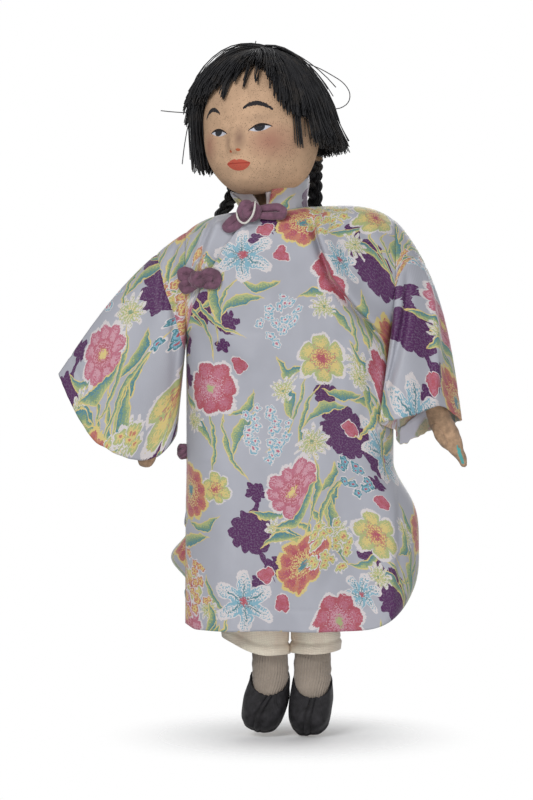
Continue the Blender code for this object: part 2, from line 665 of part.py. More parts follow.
def skirt_point(face, across, down):
    """One skirt panel below the slits."""
    flare_right = SKIRT_FLARE
    flare_left = SKIRT_FLARE + 4.0
    bow = down
    if face > 0.0:
        flare_right = BACK_FLARE_RIGHT
        flare_left = BACK_FLARE_LEFT
        bow = sin(pi * min(down * 0.78, 1.0))
    right = -GOWN_HALF_WIDTH + 0.8 - flare_right * smooth(bow)
    left = GOWN_HALF_WIDTH + 0.8 + flare_left * smooth(bow)
    x = mix(right, left, 0.5 + 0.5 * across)
    rise = SKIRT_CORNER_RISE * smooth((across - 0.42) / 0.58) * down
    if face > 0.0:
        rise = SKIRT_CORNER_RISE * 0.35 * smooth((abs(across) - 0.5) / 0.5) * down
    z = SLIT_Z - SEAM_GAP / 2.0 - down * SKIRT_LENGTH + rise
    depth = GOWN_HALF_DEPTH + FOLD_DEPTH * 0.5 * sin(across * 7.0 + 1.0) * (1.0 - abs(across) ** 4)
    depth += down * (1.5 + FOLD_DEPTH * sin(across * 9.0 + 0.6))
    y = 1.2 + (depth - 1.2) * sqrt(max(0.0, 1.0 - abs(across) ** 3.2))
    return Vector((x, face * (SEAM_GAP / 2.0 + y), z))


def gown_sheet(point, face, columns, rows):
    lines = []
    for row in range(rows + 1):
        down = (row / rows) ** (1.6 if point is bodice_point else 1.0)
        line = []
        for column in range(columns + 1):
            spread = -1.0 + 2.0 * column / columns
            across = sin(spread * pi / 2.0) * 0.5 + spread * 0.5
            line.append(point(face, across, down))
        lines.append(line)
    return loft(lines, closed=False)


def front_at(x, z):
    """Depth of the bodice's front at a place seen from the front."""
    top = shoulder_line(x)
    down = (top - z) / (top - SLIT_Z - SEAM_GAP / 2.0)
    down = min(max(down, 0.0), 1.0)
    return bodice_point(-1.0, x / mix(ARMHOLE_X, GOWN_HALF_WIDTH, smooth(down)), down).y


# The curved opening, from the throat to the underarm, as shares of its width and its height
OPENING = [(0.0, 0.0), (0.18, 0.173), (0.436, 0.365), (0.69, 0.577), (0.89, 0.807), (1.0, 1.0)]


def opening_cutter(gap):
    """The part of the front that lies on the doll's right of the curved opening."""
    shift = Vector((-0.8, 0.0, 0.6)) * gap
    outline = []
    for across, down in OPENING:
        x = mix(NECK_X - 10.0, 0.5 - ARMHOLE_X, across)
        z = mix(SHOULDER_LINE_Z - 0.5, ARMPIT_Z + 3.0, down)
        outline.append(Vector((x, 0.0, z)) + shift)
    beside = -ARMHOLE_X - 15.0
    over = SHOULDER_LINE_Z + 28.0
    for x, z in ((beside, ARMPIT_Z - 1.0), (beside, over), (NECK_X - 10.0, over)):
        outline.append(Vector((x, 0.0, z)) + shift)
    rows = [[point + Vector((0.0, depth, 0.0)) for point in outline] for depth in (-40.0, 40.0)]
    return loft(rows)


def make_gown(doll, print_cloth, lining):
    low = SHOULDER_LINE_Z - 26.0
    high = SHOULDER_LINE_Z + 28.0
    neck_hole = cylinder((NECK_X, 0.0, low), (NECK_X, 0.0, high), COLLAR_RADIUS + CLEAR, 20)
    hole = doll.cutter("neck_hole", neck_hole)
    front = doll.piece("gown_front", gown_sheet(bodice_point, -1.0, 16, 11), print_cloth, "waist")
    underlap = doll.piece("gown_underlap", gown_sheet(bodice_point, -1.0, 16, 11), print_cloth, "waist")
    back = doll.piece("gown_back", gown_sheet(bodice_point, 1.0, 14, 10), print_cloth, "waist")
    for sheet in (front, underlap, back):
        thicken(sheet, CLOTH)
        boolean(sheet, hole)
    boolean(front, doll.cutter("opening_front", opening_cutter(0.0)))
    boolean(underlap, doll.cutter("opening_underlap", opening_cutter(SEAM_GAP)), "INTERSECT")
    skirt = doll.piece("skirt_front", gown_sheet(skirt_point, -1.0, 16, 5), print_cloth, "skirt_front")
    thicken(skirt, CLOTH)
    skirt = doll.piece("skirt_back", gown_sheet(skirt_point, 1.0, 16, 5), print_cloth, "skirt_back")
    thicken(skirt, CLOTH)

    for name, radius_change, low, high, look, thickness in (
        ("collar", -CLOTH / 2.0, 0.0, COLLAR_HEIGHT, print_cloth, CLOTH),
        ("collar_lining", -CLOTH - CLEAR * 2.0 - LINING / 2.0, 1.0, COLLAR_HEIGHT - 0.8, lining, LINING),
    ):
        lines = []
        for share in (0.0, 0.4, 0.7, 1.0):
            line = []
            for step in range(17):
                opening = mix(*COLLAR_OPEN, share)
                angle = radians(mix(*COLLAR_TURN, share) + mix(opening, 360.0 - opening, step / 16.0))
                front_share = max(0.0, cos(angle))
                height = mix(low, high - 3.0 * front_share, share)
                flare = COLLAR_FLARE * smooth((height - COLLAR_HEIGHT * 0.38) / (COLLAR_HEIGHT * 0.62))
                radius = COLLAR_RADIUS + radius_change + flare
                x = NECK_X + radius * sin(angle)
                base = SHOULDER_LINE_Z - 3.2 + COLLAR_TILT * (x - NECK_X)
                line.append(Vector((x, -radius * cos(angle), base + height)))
            lines.append(line)
        band = doll.piece(name, loft(lines, closed=False), look, "waist")
        thicken(band, thickness)


def sleeve_rings(side, outer, inner, drop, half_depth, bulge, rows, sides, first=0.0, inset=0.0):
    """Rings of a bell sleeve from the armhole's plane to its cuff, starting at the top of the shoulder."""
    middle_z = (ARMHOLE_TOP_Z + ARMPIT_Z) / 2.0
    half_z = (ARMHOLE_TOP_Z - ARMPIT_Z) / 2.0 - inset
    half_y = ARMHOLE_HALF_DEPTH - inset
    half_depth -= inset
    drop -= inset
    outer = Vector((side * (ARMHOLE_X + outer[0]), ARMHOLE_TOP_Z - outer[1]))
    inner = Vector((side * (ARMHOLE_X + inner[0]), ARMHOLE_TOP_Z - inner[1]))
    trim = (inner - outer).normalized() * inset * 2.0
    outer += trim
    inner -= trim
    plane = side * (ARMHOLE_X + SEAM_GAP + CLEAR)
    rings = []
    for row in range(rows + 1):
        share = mix(first, 1.0, row / rows)
        ring = []
        for step in range(sides):
            angle = 2.0 * pi * step / sides
            top = cos(angle)
            front = -sin(angle)
            start = Vector((plane, half_y * front, middle_z + half_z * top))
            x = mix(inner[0], outer[0], 0.5 + 0.5 * top)
            z = mix(inner[1], outer[1], 0.5 + 0.5 * top) - drop * abs(front) ** 1.2
            if side > 0.0:
                z -= 5.0 * front
            else:
                x += 4.0 * abs(front)
            end = Vector((x, half_depth * front, z))
            point = start.lerp(end, share)
            swell = bulge * sin(pi * share ** 0.65) * max(0.0, top) ** 0.7
            point.x += side * swell * 0.75
            point.z += swell * 0.55
            fold = FOLD_DEPTH * sin(angle * 5.0 + 0.8) * share * abs(front)
            point.y += fold * (1.0 if front > 0.0 else -1.0)
            ring.append(point)
        rings.append(ring)
    return rings


def make_sleeves(doll, print_cloth, lining):
    right = (CUFF_RIGHT_OUT, CUFF_RIGHT_IN, CUFF_RIGHT_DROP, CUFF_RIGHT_HALF_DEPTH, SLEEVE_RIGHT_BULGE)
    left = (CUFF_LEFT_OUT, CUFF_LEFT_IN, CUFF_LEFT_DROP, CUFF_LEFT_HALF_DEPTH, SLEEVE_LEFT_BULGE)
    for side, name, sizes in ((-1.0, "right", right), (1.0, "left", left)):
        rings = sleeve_rings(side, *sizes, 6, 20)
        sleeve = doll.piece("sleeve_" + name, loft(rings, capped=False), print_cloth, "shoulder_" + name)
        thicken(sleeve, CLOTH)
        inset = (CLOTH + LINING) / 2.0 + CLEAR * 3.0
        rings = sleeve_rings(side, *sizes, 1, 20, 0.88, inset)
        facing = doll.piece("cuff_facing_" + name, loft(rings, capped=False), lining, "shoulder_" + name)
        thicken(facing, LINING)


# Closures

def cord_on_gown(points, thickness):
    """A cord laid on the front of the gown through places seen from the front."""
    out = CLOTH / 2.0 + CLEAR + thickness / 2.0 + 0.4
    path = []
    for low, high in zip(points, points[1:]):
        for share in (0.0, 0.5):
            x = mix(low[0], high[0], share)
            z = mix(low[1], high[1], share)
            path.append(Vector((x, front_at(x, z) - out, z)))
    x, z = points[-1]
    path.append(Vector((x, front_at(x, z) - out, z)))
    return path


def make_closures(doll, mauve, thread):
    for name, (x, z), ends in (
        ("throat", THROAT_KNOT, ((-12.0, -4.0), (-0.5, -2.0), (11.5, -1.0))),
        ("chest", CHEST_KNOT, ((-3.6, -2.0), (1.5, -0.5), (10.5, 4.5))),
    ):
        path = cord_on_gown([(x + out, z + up) for out, up in ends], CORD_THICK)
        radii = [CORD_THICK * 0.5] * len(path)
        doll.piece("frog_cord_" + name, loft(tube_rings(path, radii, 8)), mauve, "waist")
        nearest = min(point.y for point in path if abs(point.x - x) < KNOT_RADIUS + CORD_THICK)
        y = nearest - CORD_THICK / 2.0 - CLEAR - KNOT_RADIUS * 0.62
        bm = ball((x, y, z), (KNOT_RADIUS, KNOT_RADIUS * 0.62, KNOT_RADIUS * 0.9), 12, 8)
        doll.piece("frog_knot_" + name, bm, mauve, "waist")
        if name == "throat":
            ring = torus((x, y, z), KNOT_RADIUS + CLEAR + THREAD_RADIUS * 1.3, THREAD_RADIUS, "X")
            doll.piece("throat_thread", ring, thread, "waist")
    x = -GOWN_HALF_WIDTH - CLOTH / 2.0 - CLEAR - KNOT_RADIUS * 0.55
    bm = ball((x, 0.0, SLIT_Z + 5.5), (KNOT_RADIUS * 0.55, KNOT_RADIUS * 0.9, KNOT_RADIUS * 0.9), 10, 6)
    doll.piece("frog_knot_side", bm, mauve, "waist")


def main():
    doll = Doll()
    body_cloth = material("body_cotton", (0.62, 0.45, 0.32), 0.95)
    hand_cloth = material("hand_cloth", (0.58, 0.36, 0.22), 0.9)
    skin = material("painted_mask", (0.62, 0.42, 0.28), 0.6)
    hair = material("black_thread", (0.02, 0.018, 0.018), 0.55)
    tie = material("tie_cord", (0.3, 0.17, 0.08), 0.9)
    print_cloth = material("printed_rayon", (0.5, 0.49, 0.6), 0.5)
    lining = material("collar_lining", (0.78, 0.75, 0.74), 0.8)
    mauve = material("mauve_cord", (0.36, 0.19, 0.3), 0.5)
    cotton = material("cream_cotton", (0.78, 0.7, 0.55), 0.95)
    knit = material("white_knit", (0.76, 0.73, 0.69), 0.95)
    black = material("black_cloth", (0.025, 0.025, 0.03), 0.8)
    sole_look = material("sole_cloth", (0.45, 0.33, 0.22), 0.95)

    doll.pivot("waist", (0.0, 0.0, 0.0))
    doll.pivot("neck", (NECK_X, 0.0, TORSO_TOP_Z))
    doll.pivot("shoulder_right", (-arm_ball_x(), 0.0, SHOULDER_AXIS_Z))
    doll.pivot("shoulder_left", (arm_ball_x(), 0.0, SHOULDER_AXIS_Z))
    doll.pivot("hip_right", (leg_x(-1.0, HIP_Z), 0.0, HIP_Z))
    doll.pivot("hip_left", (leg_x(1.0, HIP_Z), 0.0, HIP_Z))
    hinge = GOWN_HALF_DEPTH + SEAM_GAP / 2.0 + FOLD_DEPTH * 0.5 + CLOTH / 2.0 + 0.2
    doll.pivot("skirt_front", (0.0, -hinge, SLIT_Z))
    doll.pivot("skirt_back", (0.0, hinge, SLIT_Z))

    make_torso(doll, body_cloth)
    make_arms(doll, body_cloth, hand_cloth)
    make_legs(doll, body_cloth, knit, black, sole_look)
    make_head(doll, skin, hair, tie)
    make_trousers(doll, cotton)
    make_gown(doll, print_cloth, lining)
    make_sleeves(doll, print_cloth, lining)
    make_closures(doll, mauve, lining)


main()
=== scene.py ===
"""How the cloth doll looks: its stuffed body, painted face, thread hair and flowered gown."""

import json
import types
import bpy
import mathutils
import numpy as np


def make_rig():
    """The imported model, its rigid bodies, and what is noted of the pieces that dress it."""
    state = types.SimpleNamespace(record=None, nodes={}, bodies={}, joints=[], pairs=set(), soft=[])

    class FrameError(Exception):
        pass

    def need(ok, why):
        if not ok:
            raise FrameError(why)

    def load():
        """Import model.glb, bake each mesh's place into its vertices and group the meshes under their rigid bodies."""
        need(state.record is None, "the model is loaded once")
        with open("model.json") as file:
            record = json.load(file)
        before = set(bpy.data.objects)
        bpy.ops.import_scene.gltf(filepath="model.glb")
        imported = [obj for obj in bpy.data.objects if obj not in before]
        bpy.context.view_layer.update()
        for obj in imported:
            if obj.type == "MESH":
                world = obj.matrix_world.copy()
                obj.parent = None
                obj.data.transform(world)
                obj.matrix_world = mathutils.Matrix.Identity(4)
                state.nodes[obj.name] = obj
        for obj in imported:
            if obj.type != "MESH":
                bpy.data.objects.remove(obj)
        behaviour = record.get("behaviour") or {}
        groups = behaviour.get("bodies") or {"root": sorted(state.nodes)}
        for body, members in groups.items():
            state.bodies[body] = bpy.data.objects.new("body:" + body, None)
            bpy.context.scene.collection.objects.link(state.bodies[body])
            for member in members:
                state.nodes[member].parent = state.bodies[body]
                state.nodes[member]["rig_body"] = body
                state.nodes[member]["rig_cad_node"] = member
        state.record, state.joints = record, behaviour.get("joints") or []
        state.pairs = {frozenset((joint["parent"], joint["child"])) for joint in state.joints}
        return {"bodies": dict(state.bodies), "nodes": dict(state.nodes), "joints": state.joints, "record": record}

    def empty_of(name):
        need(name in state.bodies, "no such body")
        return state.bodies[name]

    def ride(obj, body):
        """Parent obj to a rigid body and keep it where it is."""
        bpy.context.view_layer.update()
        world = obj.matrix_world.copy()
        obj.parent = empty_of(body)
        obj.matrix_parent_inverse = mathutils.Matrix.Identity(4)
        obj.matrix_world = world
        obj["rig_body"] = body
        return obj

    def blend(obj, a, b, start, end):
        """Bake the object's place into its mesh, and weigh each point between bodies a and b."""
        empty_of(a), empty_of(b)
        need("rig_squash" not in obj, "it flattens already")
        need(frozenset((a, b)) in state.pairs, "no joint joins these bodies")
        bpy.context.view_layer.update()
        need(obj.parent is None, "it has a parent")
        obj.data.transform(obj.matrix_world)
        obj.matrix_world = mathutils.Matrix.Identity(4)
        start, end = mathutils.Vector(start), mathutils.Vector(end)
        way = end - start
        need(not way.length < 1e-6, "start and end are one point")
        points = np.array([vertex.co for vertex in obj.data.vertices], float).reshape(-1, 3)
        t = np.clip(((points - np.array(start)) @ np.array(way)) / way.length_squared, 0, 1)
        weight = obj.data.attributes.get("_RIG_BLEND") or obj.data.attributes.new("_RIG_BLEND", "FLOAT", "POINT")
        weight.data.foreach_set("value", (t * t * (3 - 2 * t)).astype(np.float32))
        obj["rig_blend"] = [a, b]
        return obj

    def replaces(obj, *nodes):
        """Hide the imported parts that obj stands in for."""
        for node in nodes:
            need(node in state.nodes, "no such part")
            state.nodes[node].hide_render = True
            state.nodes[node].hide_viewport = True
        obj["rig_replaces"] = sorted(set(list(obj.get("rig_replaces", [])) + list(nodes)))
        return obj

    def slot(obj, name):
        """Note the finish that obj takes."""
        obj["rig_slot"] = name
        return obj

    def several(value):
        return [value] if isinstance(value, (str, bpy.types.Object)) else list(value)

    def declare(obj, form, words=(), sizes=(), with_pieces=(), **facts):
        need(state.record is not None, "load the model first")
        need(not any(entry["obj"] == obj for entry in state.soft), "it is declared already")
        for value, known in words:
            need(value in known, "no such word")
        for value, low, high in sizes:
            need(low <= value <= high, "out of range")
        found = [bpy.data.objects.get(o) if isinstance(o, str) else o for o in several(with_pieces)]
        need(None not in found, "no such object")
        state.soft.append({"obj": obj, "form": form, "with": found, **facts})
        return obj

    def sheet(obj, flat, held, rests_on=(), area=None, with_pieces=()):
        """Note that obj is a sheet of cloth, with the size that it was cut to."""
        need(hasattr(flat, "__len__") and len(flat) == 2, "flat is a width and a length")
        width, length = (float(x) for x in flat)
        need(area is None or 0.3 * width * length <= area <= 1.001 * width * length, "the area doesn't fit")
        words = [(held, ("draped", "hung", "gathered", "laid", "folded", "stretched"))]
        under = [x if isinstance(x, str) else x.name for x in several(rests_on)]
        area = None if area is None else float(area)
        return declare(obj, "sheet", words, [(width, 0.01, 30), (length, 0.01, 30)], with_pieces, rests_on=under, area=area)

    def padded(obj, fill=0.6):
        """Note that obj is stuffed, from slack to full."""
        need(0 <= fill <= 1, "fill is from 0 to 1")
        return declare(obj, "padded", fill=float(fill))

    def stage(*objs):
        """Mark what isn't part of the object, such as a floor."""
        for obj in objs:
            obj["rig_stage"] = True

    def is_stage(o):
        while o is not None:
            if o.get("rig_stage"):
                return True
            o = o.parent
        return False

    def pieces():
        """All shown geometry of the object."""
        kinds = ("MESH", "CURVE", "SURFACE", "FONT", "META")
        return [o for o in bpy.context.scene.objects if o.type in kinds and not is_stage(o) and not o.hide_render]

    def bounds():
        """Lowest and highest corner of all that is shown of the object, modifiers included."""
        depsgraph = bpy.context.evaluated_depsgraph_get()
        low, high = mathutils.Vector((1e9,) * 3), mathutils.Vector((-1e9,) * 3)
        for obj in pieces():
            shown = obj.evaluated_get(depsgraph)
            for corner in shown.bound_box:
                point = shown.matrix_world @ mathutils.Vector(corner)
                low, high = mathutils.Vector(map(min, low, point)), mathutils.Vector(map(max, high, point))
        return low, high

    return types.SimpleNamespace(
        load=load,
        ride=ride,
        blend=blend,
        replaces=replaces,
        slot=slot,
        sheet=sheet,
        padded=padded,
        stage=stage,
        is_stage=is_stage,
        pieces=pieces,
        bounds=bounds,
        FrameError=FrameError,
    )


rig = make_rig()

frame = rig.load()
cad_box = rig.bounds()

import json
import random
from math import acos, atan2, cos, degrees, exp, hypot, pi, radians, sin, sqrt

import bmesh
import bpy
from mathutils import Matrix, Vector, noise

# The studio: a pale seamless floor under four soft lamps, the strongest at the upper left, and weaker ones at
# the right, low in front and behind. The camera is level and far off. Sizes here are in millimetres.
MM = 0.001
CAMERA_PLACE = (-10.2, -1000.0, 13.7)
CAMERA_LENS = 103.5
FLOOR_COLOUR = (0.95, 0.95, 0.95)
FLOOR_Z = -132.0
FLOOR_HALF = 400.0
FLOOR_FADE = (0.0, 85.0)
BACKDROP = (1.0, 1.0, 1.0)
AMBIENT = (0.24, 0.245, 0.255)
# Each lamp: its place, its size and its watts
LAMPS = {"key": ((-480.0, -880.0, 600.0), 500.0, 6.2), "fill": ((480.0, -920.0, -120.0), 700.0, 2.9),
         "table": ((-100.0, -820.0, -520.0), 600.0, 1.5), "back": ((300.0, 900.0, 420.0), 800.0, 3.4)}

scene = bpy.context.scene
scene.view_settings.view_transform = "Standard"
camera = bpy.data.objects.new("camera", bpy.data.cameras.new("camera"))
camera.data.lens = CAMERA_LENS
camera.location = Vector(CAMERA_PLACE) * MM
camera.rotation_euler = (pi / 2.0, 0.0, 0.0)
scene.collection.objects.link(camera)
scene.camera = camera

for name, (spot, size, watts) in LAMPS.items():
    lamp = bpy.data.objects.new(name, bpy.data.lights.new(name, "AREA"))
    lamp.data.size = size * MM
    lamp.data.energy = watts
    lamp.location = Vector(spot) * MM
    lamp.rotation_mode = "QUATERNION"
    lamp.rotation_quaternion = (-lamp.location).to_track_quat("-Z", "Y")
    scene.collection.objects.link(lamp)


def add_node(tree, kind, *inputs, **settings):
    """Add a shader node whose first sockets are given as values or as other nodes' outputs."""
    made = tree.nodes.new("ShaderNode" + kind)
    for setting, value in settings.items():
        setattr(made, setting, value)
    for socket, value in zip(made.inputs, inputs):
        if isinstance(value, bpy.types.NodeSocket):
            tree.links.new(value, socket)
        elif value is not None:
            socket.default_value = value
    return made.outputs


scene.world = bpy.data.worlds.new("studio")
scene.world.use_nodes = True
studio = scene.world.node_tree
rays = add_node(studio, "LightPath")
mirrored = add_node(studio, "Math", rays["Is Glossy Ray"], rays["Is Transmission Ray"],
                    operation="MAXIMUM")[0]
seen = add_node(studio, "Math", rays["Is Camera Ray"], mirrored, operation="MAXIMUM")[0]
backdrop = add_node(studio, "MixRGB", seen, (*AMBIENT, 1.0), (*BACKDROP, 1.0))[0]
studio.links.new(backdrop, studio.nodes["Background"].inputs["Color"])


def finish(name, colour, roughness, sheen=0.0, gloss=0.5):
    """A finish with one colour and roughness all over, to which a section adds its own grain."""
    look = bpy.data.materials.new(name)
    look.use_nodes = True
    shader = look.node_tree.nodes["Principled BSDF"]
    shader.inputs["Base Color"].default_value = (*colour, 1.0)
    shader.inputs["Roughness"].default_value = roughness
    shader.inputs["Sheen Weight"].default_value = sheen
    shader.inputs["Specular IOR Level"].default_value = gloss
    return look, look.node_tree, shader.inputs


def sew_up(name, bm, look):
    """Turn a shape drawn in millimetres into a finished piece."""
    bmesh.ops.scale(bm, vec=(MM, MM, MM), verts=bm.verts)
    for face in bm.faces:
        face.smooth = True
    mesh = bpy.data.meshes.new(name)
    bm.to_mesh(mesh)
    bm.free()
    mesh.materials.append(look)
    piece = bpy.data.objects.new(name, mesh)
    scene.collection.objects.link(piece)
    return piece


white_floor, tree, sockets = finish("white_floor", FLOOR_COLOUR, 0.9)
place = add_node(tree, "TexCoord")["Object"]
off = add_node(tree, "VectorMath", place, (0.0, 0.0, FLOOR_Z * MM), operation="DISTANCE")["Value"]
near, far = (reach * MM for reach in FLOOR_FADE)
clear = add_node(tree, "MapRange", off, near, far, 1.0, 0.0, interpolation_type="SMOOTHSTEP")[0]
tree.links.new(clear, sockets["Alpha"])
bm = bmesh.new()
bmesh.ops.create_grid(bm, x_segments=1, y_segments=1, size=FLOOR_HALF)
bmesh.ops.translate(bm, vec=(0.0, 0.0, FLOOR_Z), verts=bm.verts)
floor = sew_up("floor", bm, white_floor)
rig.stage(floor)

# The stuffed body: tan cotton sewn into a torso, a neck, two arms and two legs, each filled tight.
# The limbs are sewn to the torso flat, so they swing on their seams. Only the neck shows, under the chin.
COTTON_COLOUR = (0.5, 0.33, 0.21)
TORSO = ((0.0, 0.0, -22.0, 19.0, 10.0), (0.0, 0.0, -8.0, 24.0, 13.2), (0.0, 0.0, 10.0, 22.0, 12.8),
         (0.0, 0.0, 36.0, 25.0, 13.4), (0.0, 0.0, 58.0, 27.0, 13.4), (-1.5, 0.0, 74.0, 34.5, 12.0),
         (-5.0, 0.0, 85.0, 27.0, 11.0), (-7.0, 0.0, 93.0, 12.0, 9.0))
NECK = ((-7.0, 0.0, 92.5, 9.4, 9.4), (-7.0, 0.0, 98.0, 8.3, 8.3), (-7.0, 0.0, 108.0, 8.0, 8.0),
        (-7.0, 0.0, 117.0, 8.0, 8.0))
ARMS = {"right": ((-39.0, 0.0, 78.0, 5.6, 3.0), (-48.6, 0.0, 75.0, 5.0, 3.2), (-53.4, 0.0, 63.5, 4.8, 3.8),
                  (-56.0, 0.0, 40.2, 5.7, 5.7), (-59.3, 0.0, 12.0, 5.0, 5.0), (-60.3, 0.0, 2.5, 4.3, 4.3)),
        "left": ((39.0, 0.0, 78.0, 5.6, 3.0), (48.6, 0.0, 74.5, 5.0, 3.2), (53.0, 0.0, 63.0, 4.8, 3.8),
                 (56.4, 0.0, 40.0, 5.7, 5.7), (61.3, -1.0, 18.0, 5.0, 5.0), (63.8, -2.0, 8.5, 4.3, 4.3))}
LEG = ((9.2, 0.0, -22.4, 7.6, 7.6), (9.2, 0.0, -30.0, 8.0, 8.0), (9.3, 0.0, -48.0, 7.3, 7.3),
       (9.8, 0.0, -68.0, 6.6, 6.6), (9.8, 0.0, -90.0, 5.5, 5.5), (9.6, 0.0, -105.0, 4.7, 4.7))
TORSO_FILL = 0.9
LIMB_FILL = 0.8
WEAVE_DEPTH = 0.2
SIDES = (("right", -1.0), ("left", 1.0))
# Where a limb, and the cloth over it, bends from the torso to the limb's own body, in metres
HIP_BEND = {"start": (0.0, 0.0, -0.02), "end": (0.0, 0.0, -0.044)}
SHOULDER_BEND = {name: {"start": (side * 0.045, 0.0, 0.041), "end": (side * 0.0545, 0.0, 0.0385)}
                 for name, side in SIDES}


def glide(rows, share):
    """A place on the smooth curve through some rows of numbers, from share 0 to share 1."""
    spans = len(rows) - 1
    span = min(int(max(share, 0.0) * spans), spans - 1)
    step = share * spans - span
    before, low, high, after = (Vector(rows[min(max(span + i, 0), spans)]) for i in (-1, 0, 1, 2))
    bend = (before * 2.0 - low * 5.0 + high * 4.0 - after) * step ** 2
    bend += (low * 3.0 - before - high * 3.0 + after) * step ** 3
    return low + ((high - before) * step + bend) * 0.5


def stuffed(rows, around=28, along=36, relief=None):
    """A closed stuffed form through rows of x, y, z, half width and half depth."""
    bm = bmesh.new()
    bmesh.ops.create_uvsphere(bm, u_segments=around, v_segments=along, radius=1.0)
    for vert in bm.verts:
        share = acos(min(max(vert.co.z, -1.0), 1.0)) / pi
        angle = atan2(vert.co.y, vert.co.x)
        here = glide(rows, share)
        ahead = (glide(rows, min(share + 0.02, 1.0)) - glide(rows, max(share - 0.02, 0.0))).xyz
        side = ahead.cross(Vector((0.0, 1.0, 0.0))).normalized()
        depth = side.cross(ahead).normalized()
        full = sqrt(max(0.0, 1.0 - abs(2.0 * share - 1.0) ** 6))
        if relief:
            full *= relief(share, angle)
        vert.co = here.xyz + (side * cos(angle) * here[3] + depth * sin(angle) * here[4]) * full
    bmesh.ops.recalc_face_normals(bm, faces=bm.faces)
    return bm


def raise_grain(tree, sockets, height, strength, depth):
    """Raise a pattern on a surface by a depth in millimetres."""
    grain = tree.nodes.new("ShaderNodeBump")
    grain.inputs["Strength"].default_value = strength
    grain.inputs["Distance"].default_value = depth * MM
    tree.links.new(height, grain.inputs["Height"])
    tree.links.new(grain.outputs[0], sockets["Normal"])


def weave(tree, sockets, coordinates, closeness, strength):
    """Raise the crossing threads of a plain weave."""
    over, under = (add_node(tree, "TexWave", coordinates, closeness, 0.6, 1.0, bands_direction=way)["Fac"]
                   for way in "XY")
    height = add_node(tree, "Math", over, under, operation="MULTIPLY")[0]
    raise_grain(tree, sockets, height, strength, WEAVE_DEPTH)
    return height


def mottle(tree, sockets, coordinates, scale, dark, light):
    """Vary the colour softly between two shades."""
    cloud = add_node(tree, "TexNoise", coordinates, None, scale, 4.0, 0.6)["Fac"]
    ramp = add_node(tree, "MapRange", cloud, 0.3, 0.7)[0]
    colour = add_node(tree, "MixRGB", ramp, (*dark, 1.0), (*light, 1.0))[0]
    tree.links.new(colour, sockets["Base Color"])
    return colour


def shades(colour, share):
    """A darker and a lighter shade of one colour."""
    return tuple(c * (1.0 - share) for c in colour), tuple(min(1.0, c * (1.0 + share)) for c in colour)


def mottled(name, colour, roughness, sheen, gloss, scale, share):
    """A finish whose colour varies by a share either way, with the places on the piece for its grain."""
    look, tree, sockets = finish(name, colour, roughness, sheen, gloss)
    place = add_node(tree, "TexCoord")["Object"]
    return look, tree, sockets, place, mottle(tree, sockets, place, scale, *shades(colour, share))


body_cotton, tree, sockets, place, _ = mottled("body_cotton", COTTON_COLOUR, 0.95, 0.2, 0.2, 240.0, 0.18)
weave(tree, sockets, place, 900.0, 0.4)


def fix_on(piece, body, slot, *nodes, bend=None):
    """Fix a piece to its body, or bend it from the torso to it, in place of the solids that it dresses."""
    if bend:
        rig.blend(piece, "torso", body, **bend)
    else:
        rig.ride(piece, body)
    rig.replaces(piece, *nodes)
    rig.slot(piece, slot)


def stuffed_piece(name, rows, look, body, fill, slot, *nodes, bend=None, **form):
    """Sew and fill a stuffed piece, and fix it on."""
    piece = sew_up(name, stuffed(rows, **form), look)
    fix_on(piece, body, slot, *nodes, bend=bend)
    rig.padded(piece, fill)


stuffed_piece("stuffed_torso", TORSO, body_cotton, "torso", TORSO_FILL, "body_cotton", "torso", along=48)
stuffed_piece("stuffed_neck", NECK, body_cotton, "torso", TORSO_FILL, "body_cotton", "neck")
for name, side in SIDES:
    leg = [(side * x, y, z, wide, deep) for x, y, z, wide, deep in LEG]
    for kind, rows, bend in (("arm_", ARMS[name], SHOULDER_BEND[name]), ("leg_", leg, HIP_BEND)):
        limb = kind + name
        stuffed_piece("stuffed_" + limb, rows, body_cotton, limb, LIMB_FILL, "body_cotton", limb, bend=bend)

# The hands: small mitts of napped tan cloth, closed over the ends of the arms. The left one has its thumb
# laid along the palm and a stain on its fingertip. Their lumps are drawn from a seed, the same in every run.
HAND_COLOUR = (0.46, 0.3, 0.19)
STAIN_COLOUR = (0.12, 0.42, 0.4)
STAIN_PLACE = (73.5, -7.4, -10.2)
STAIN_HALF = (0.8, 4.0, 4.0)
STAIN_LEAN = -17.0
HANDS = {"right": ((-60.2, 0.0, 3.0, 4.0, 4.0), (-60.8, -0.4, -3.0, 4.6, 4.2), (-62.2, -1.0, -9.5, 4.5, 4.0),
                   (-62.9, -1.0, -15.4, 3.2, 3.0)),
         "left": ((61.9, -1.2, 17.0, 5.2, 5.2), (63.9, -2.0, 9.5, 5.3, 5.0), (65.4, -2.8, 4.0, 5.1, 4.4),
                  (69.0, -4.0, -2.5, 5.0, 3.6), (73.0, -5.0, -9.0, 2.6, 2.6), (75.6, -5.0, -15.4, 1.9, 2.0))}
THUMB = ((62.6, -5.0, 4.0, 2.0, 1.8), (64.6, -6.2, -1.5, 2.2, 2.0), (67.6, -6.6, -5.8, 1.7, 1.6))
HAND_FILL = 0.7
LUMP_CLOSENESS = 0.35
LUMP_HEIGHT = 0.45
LUMP_SEED = 21

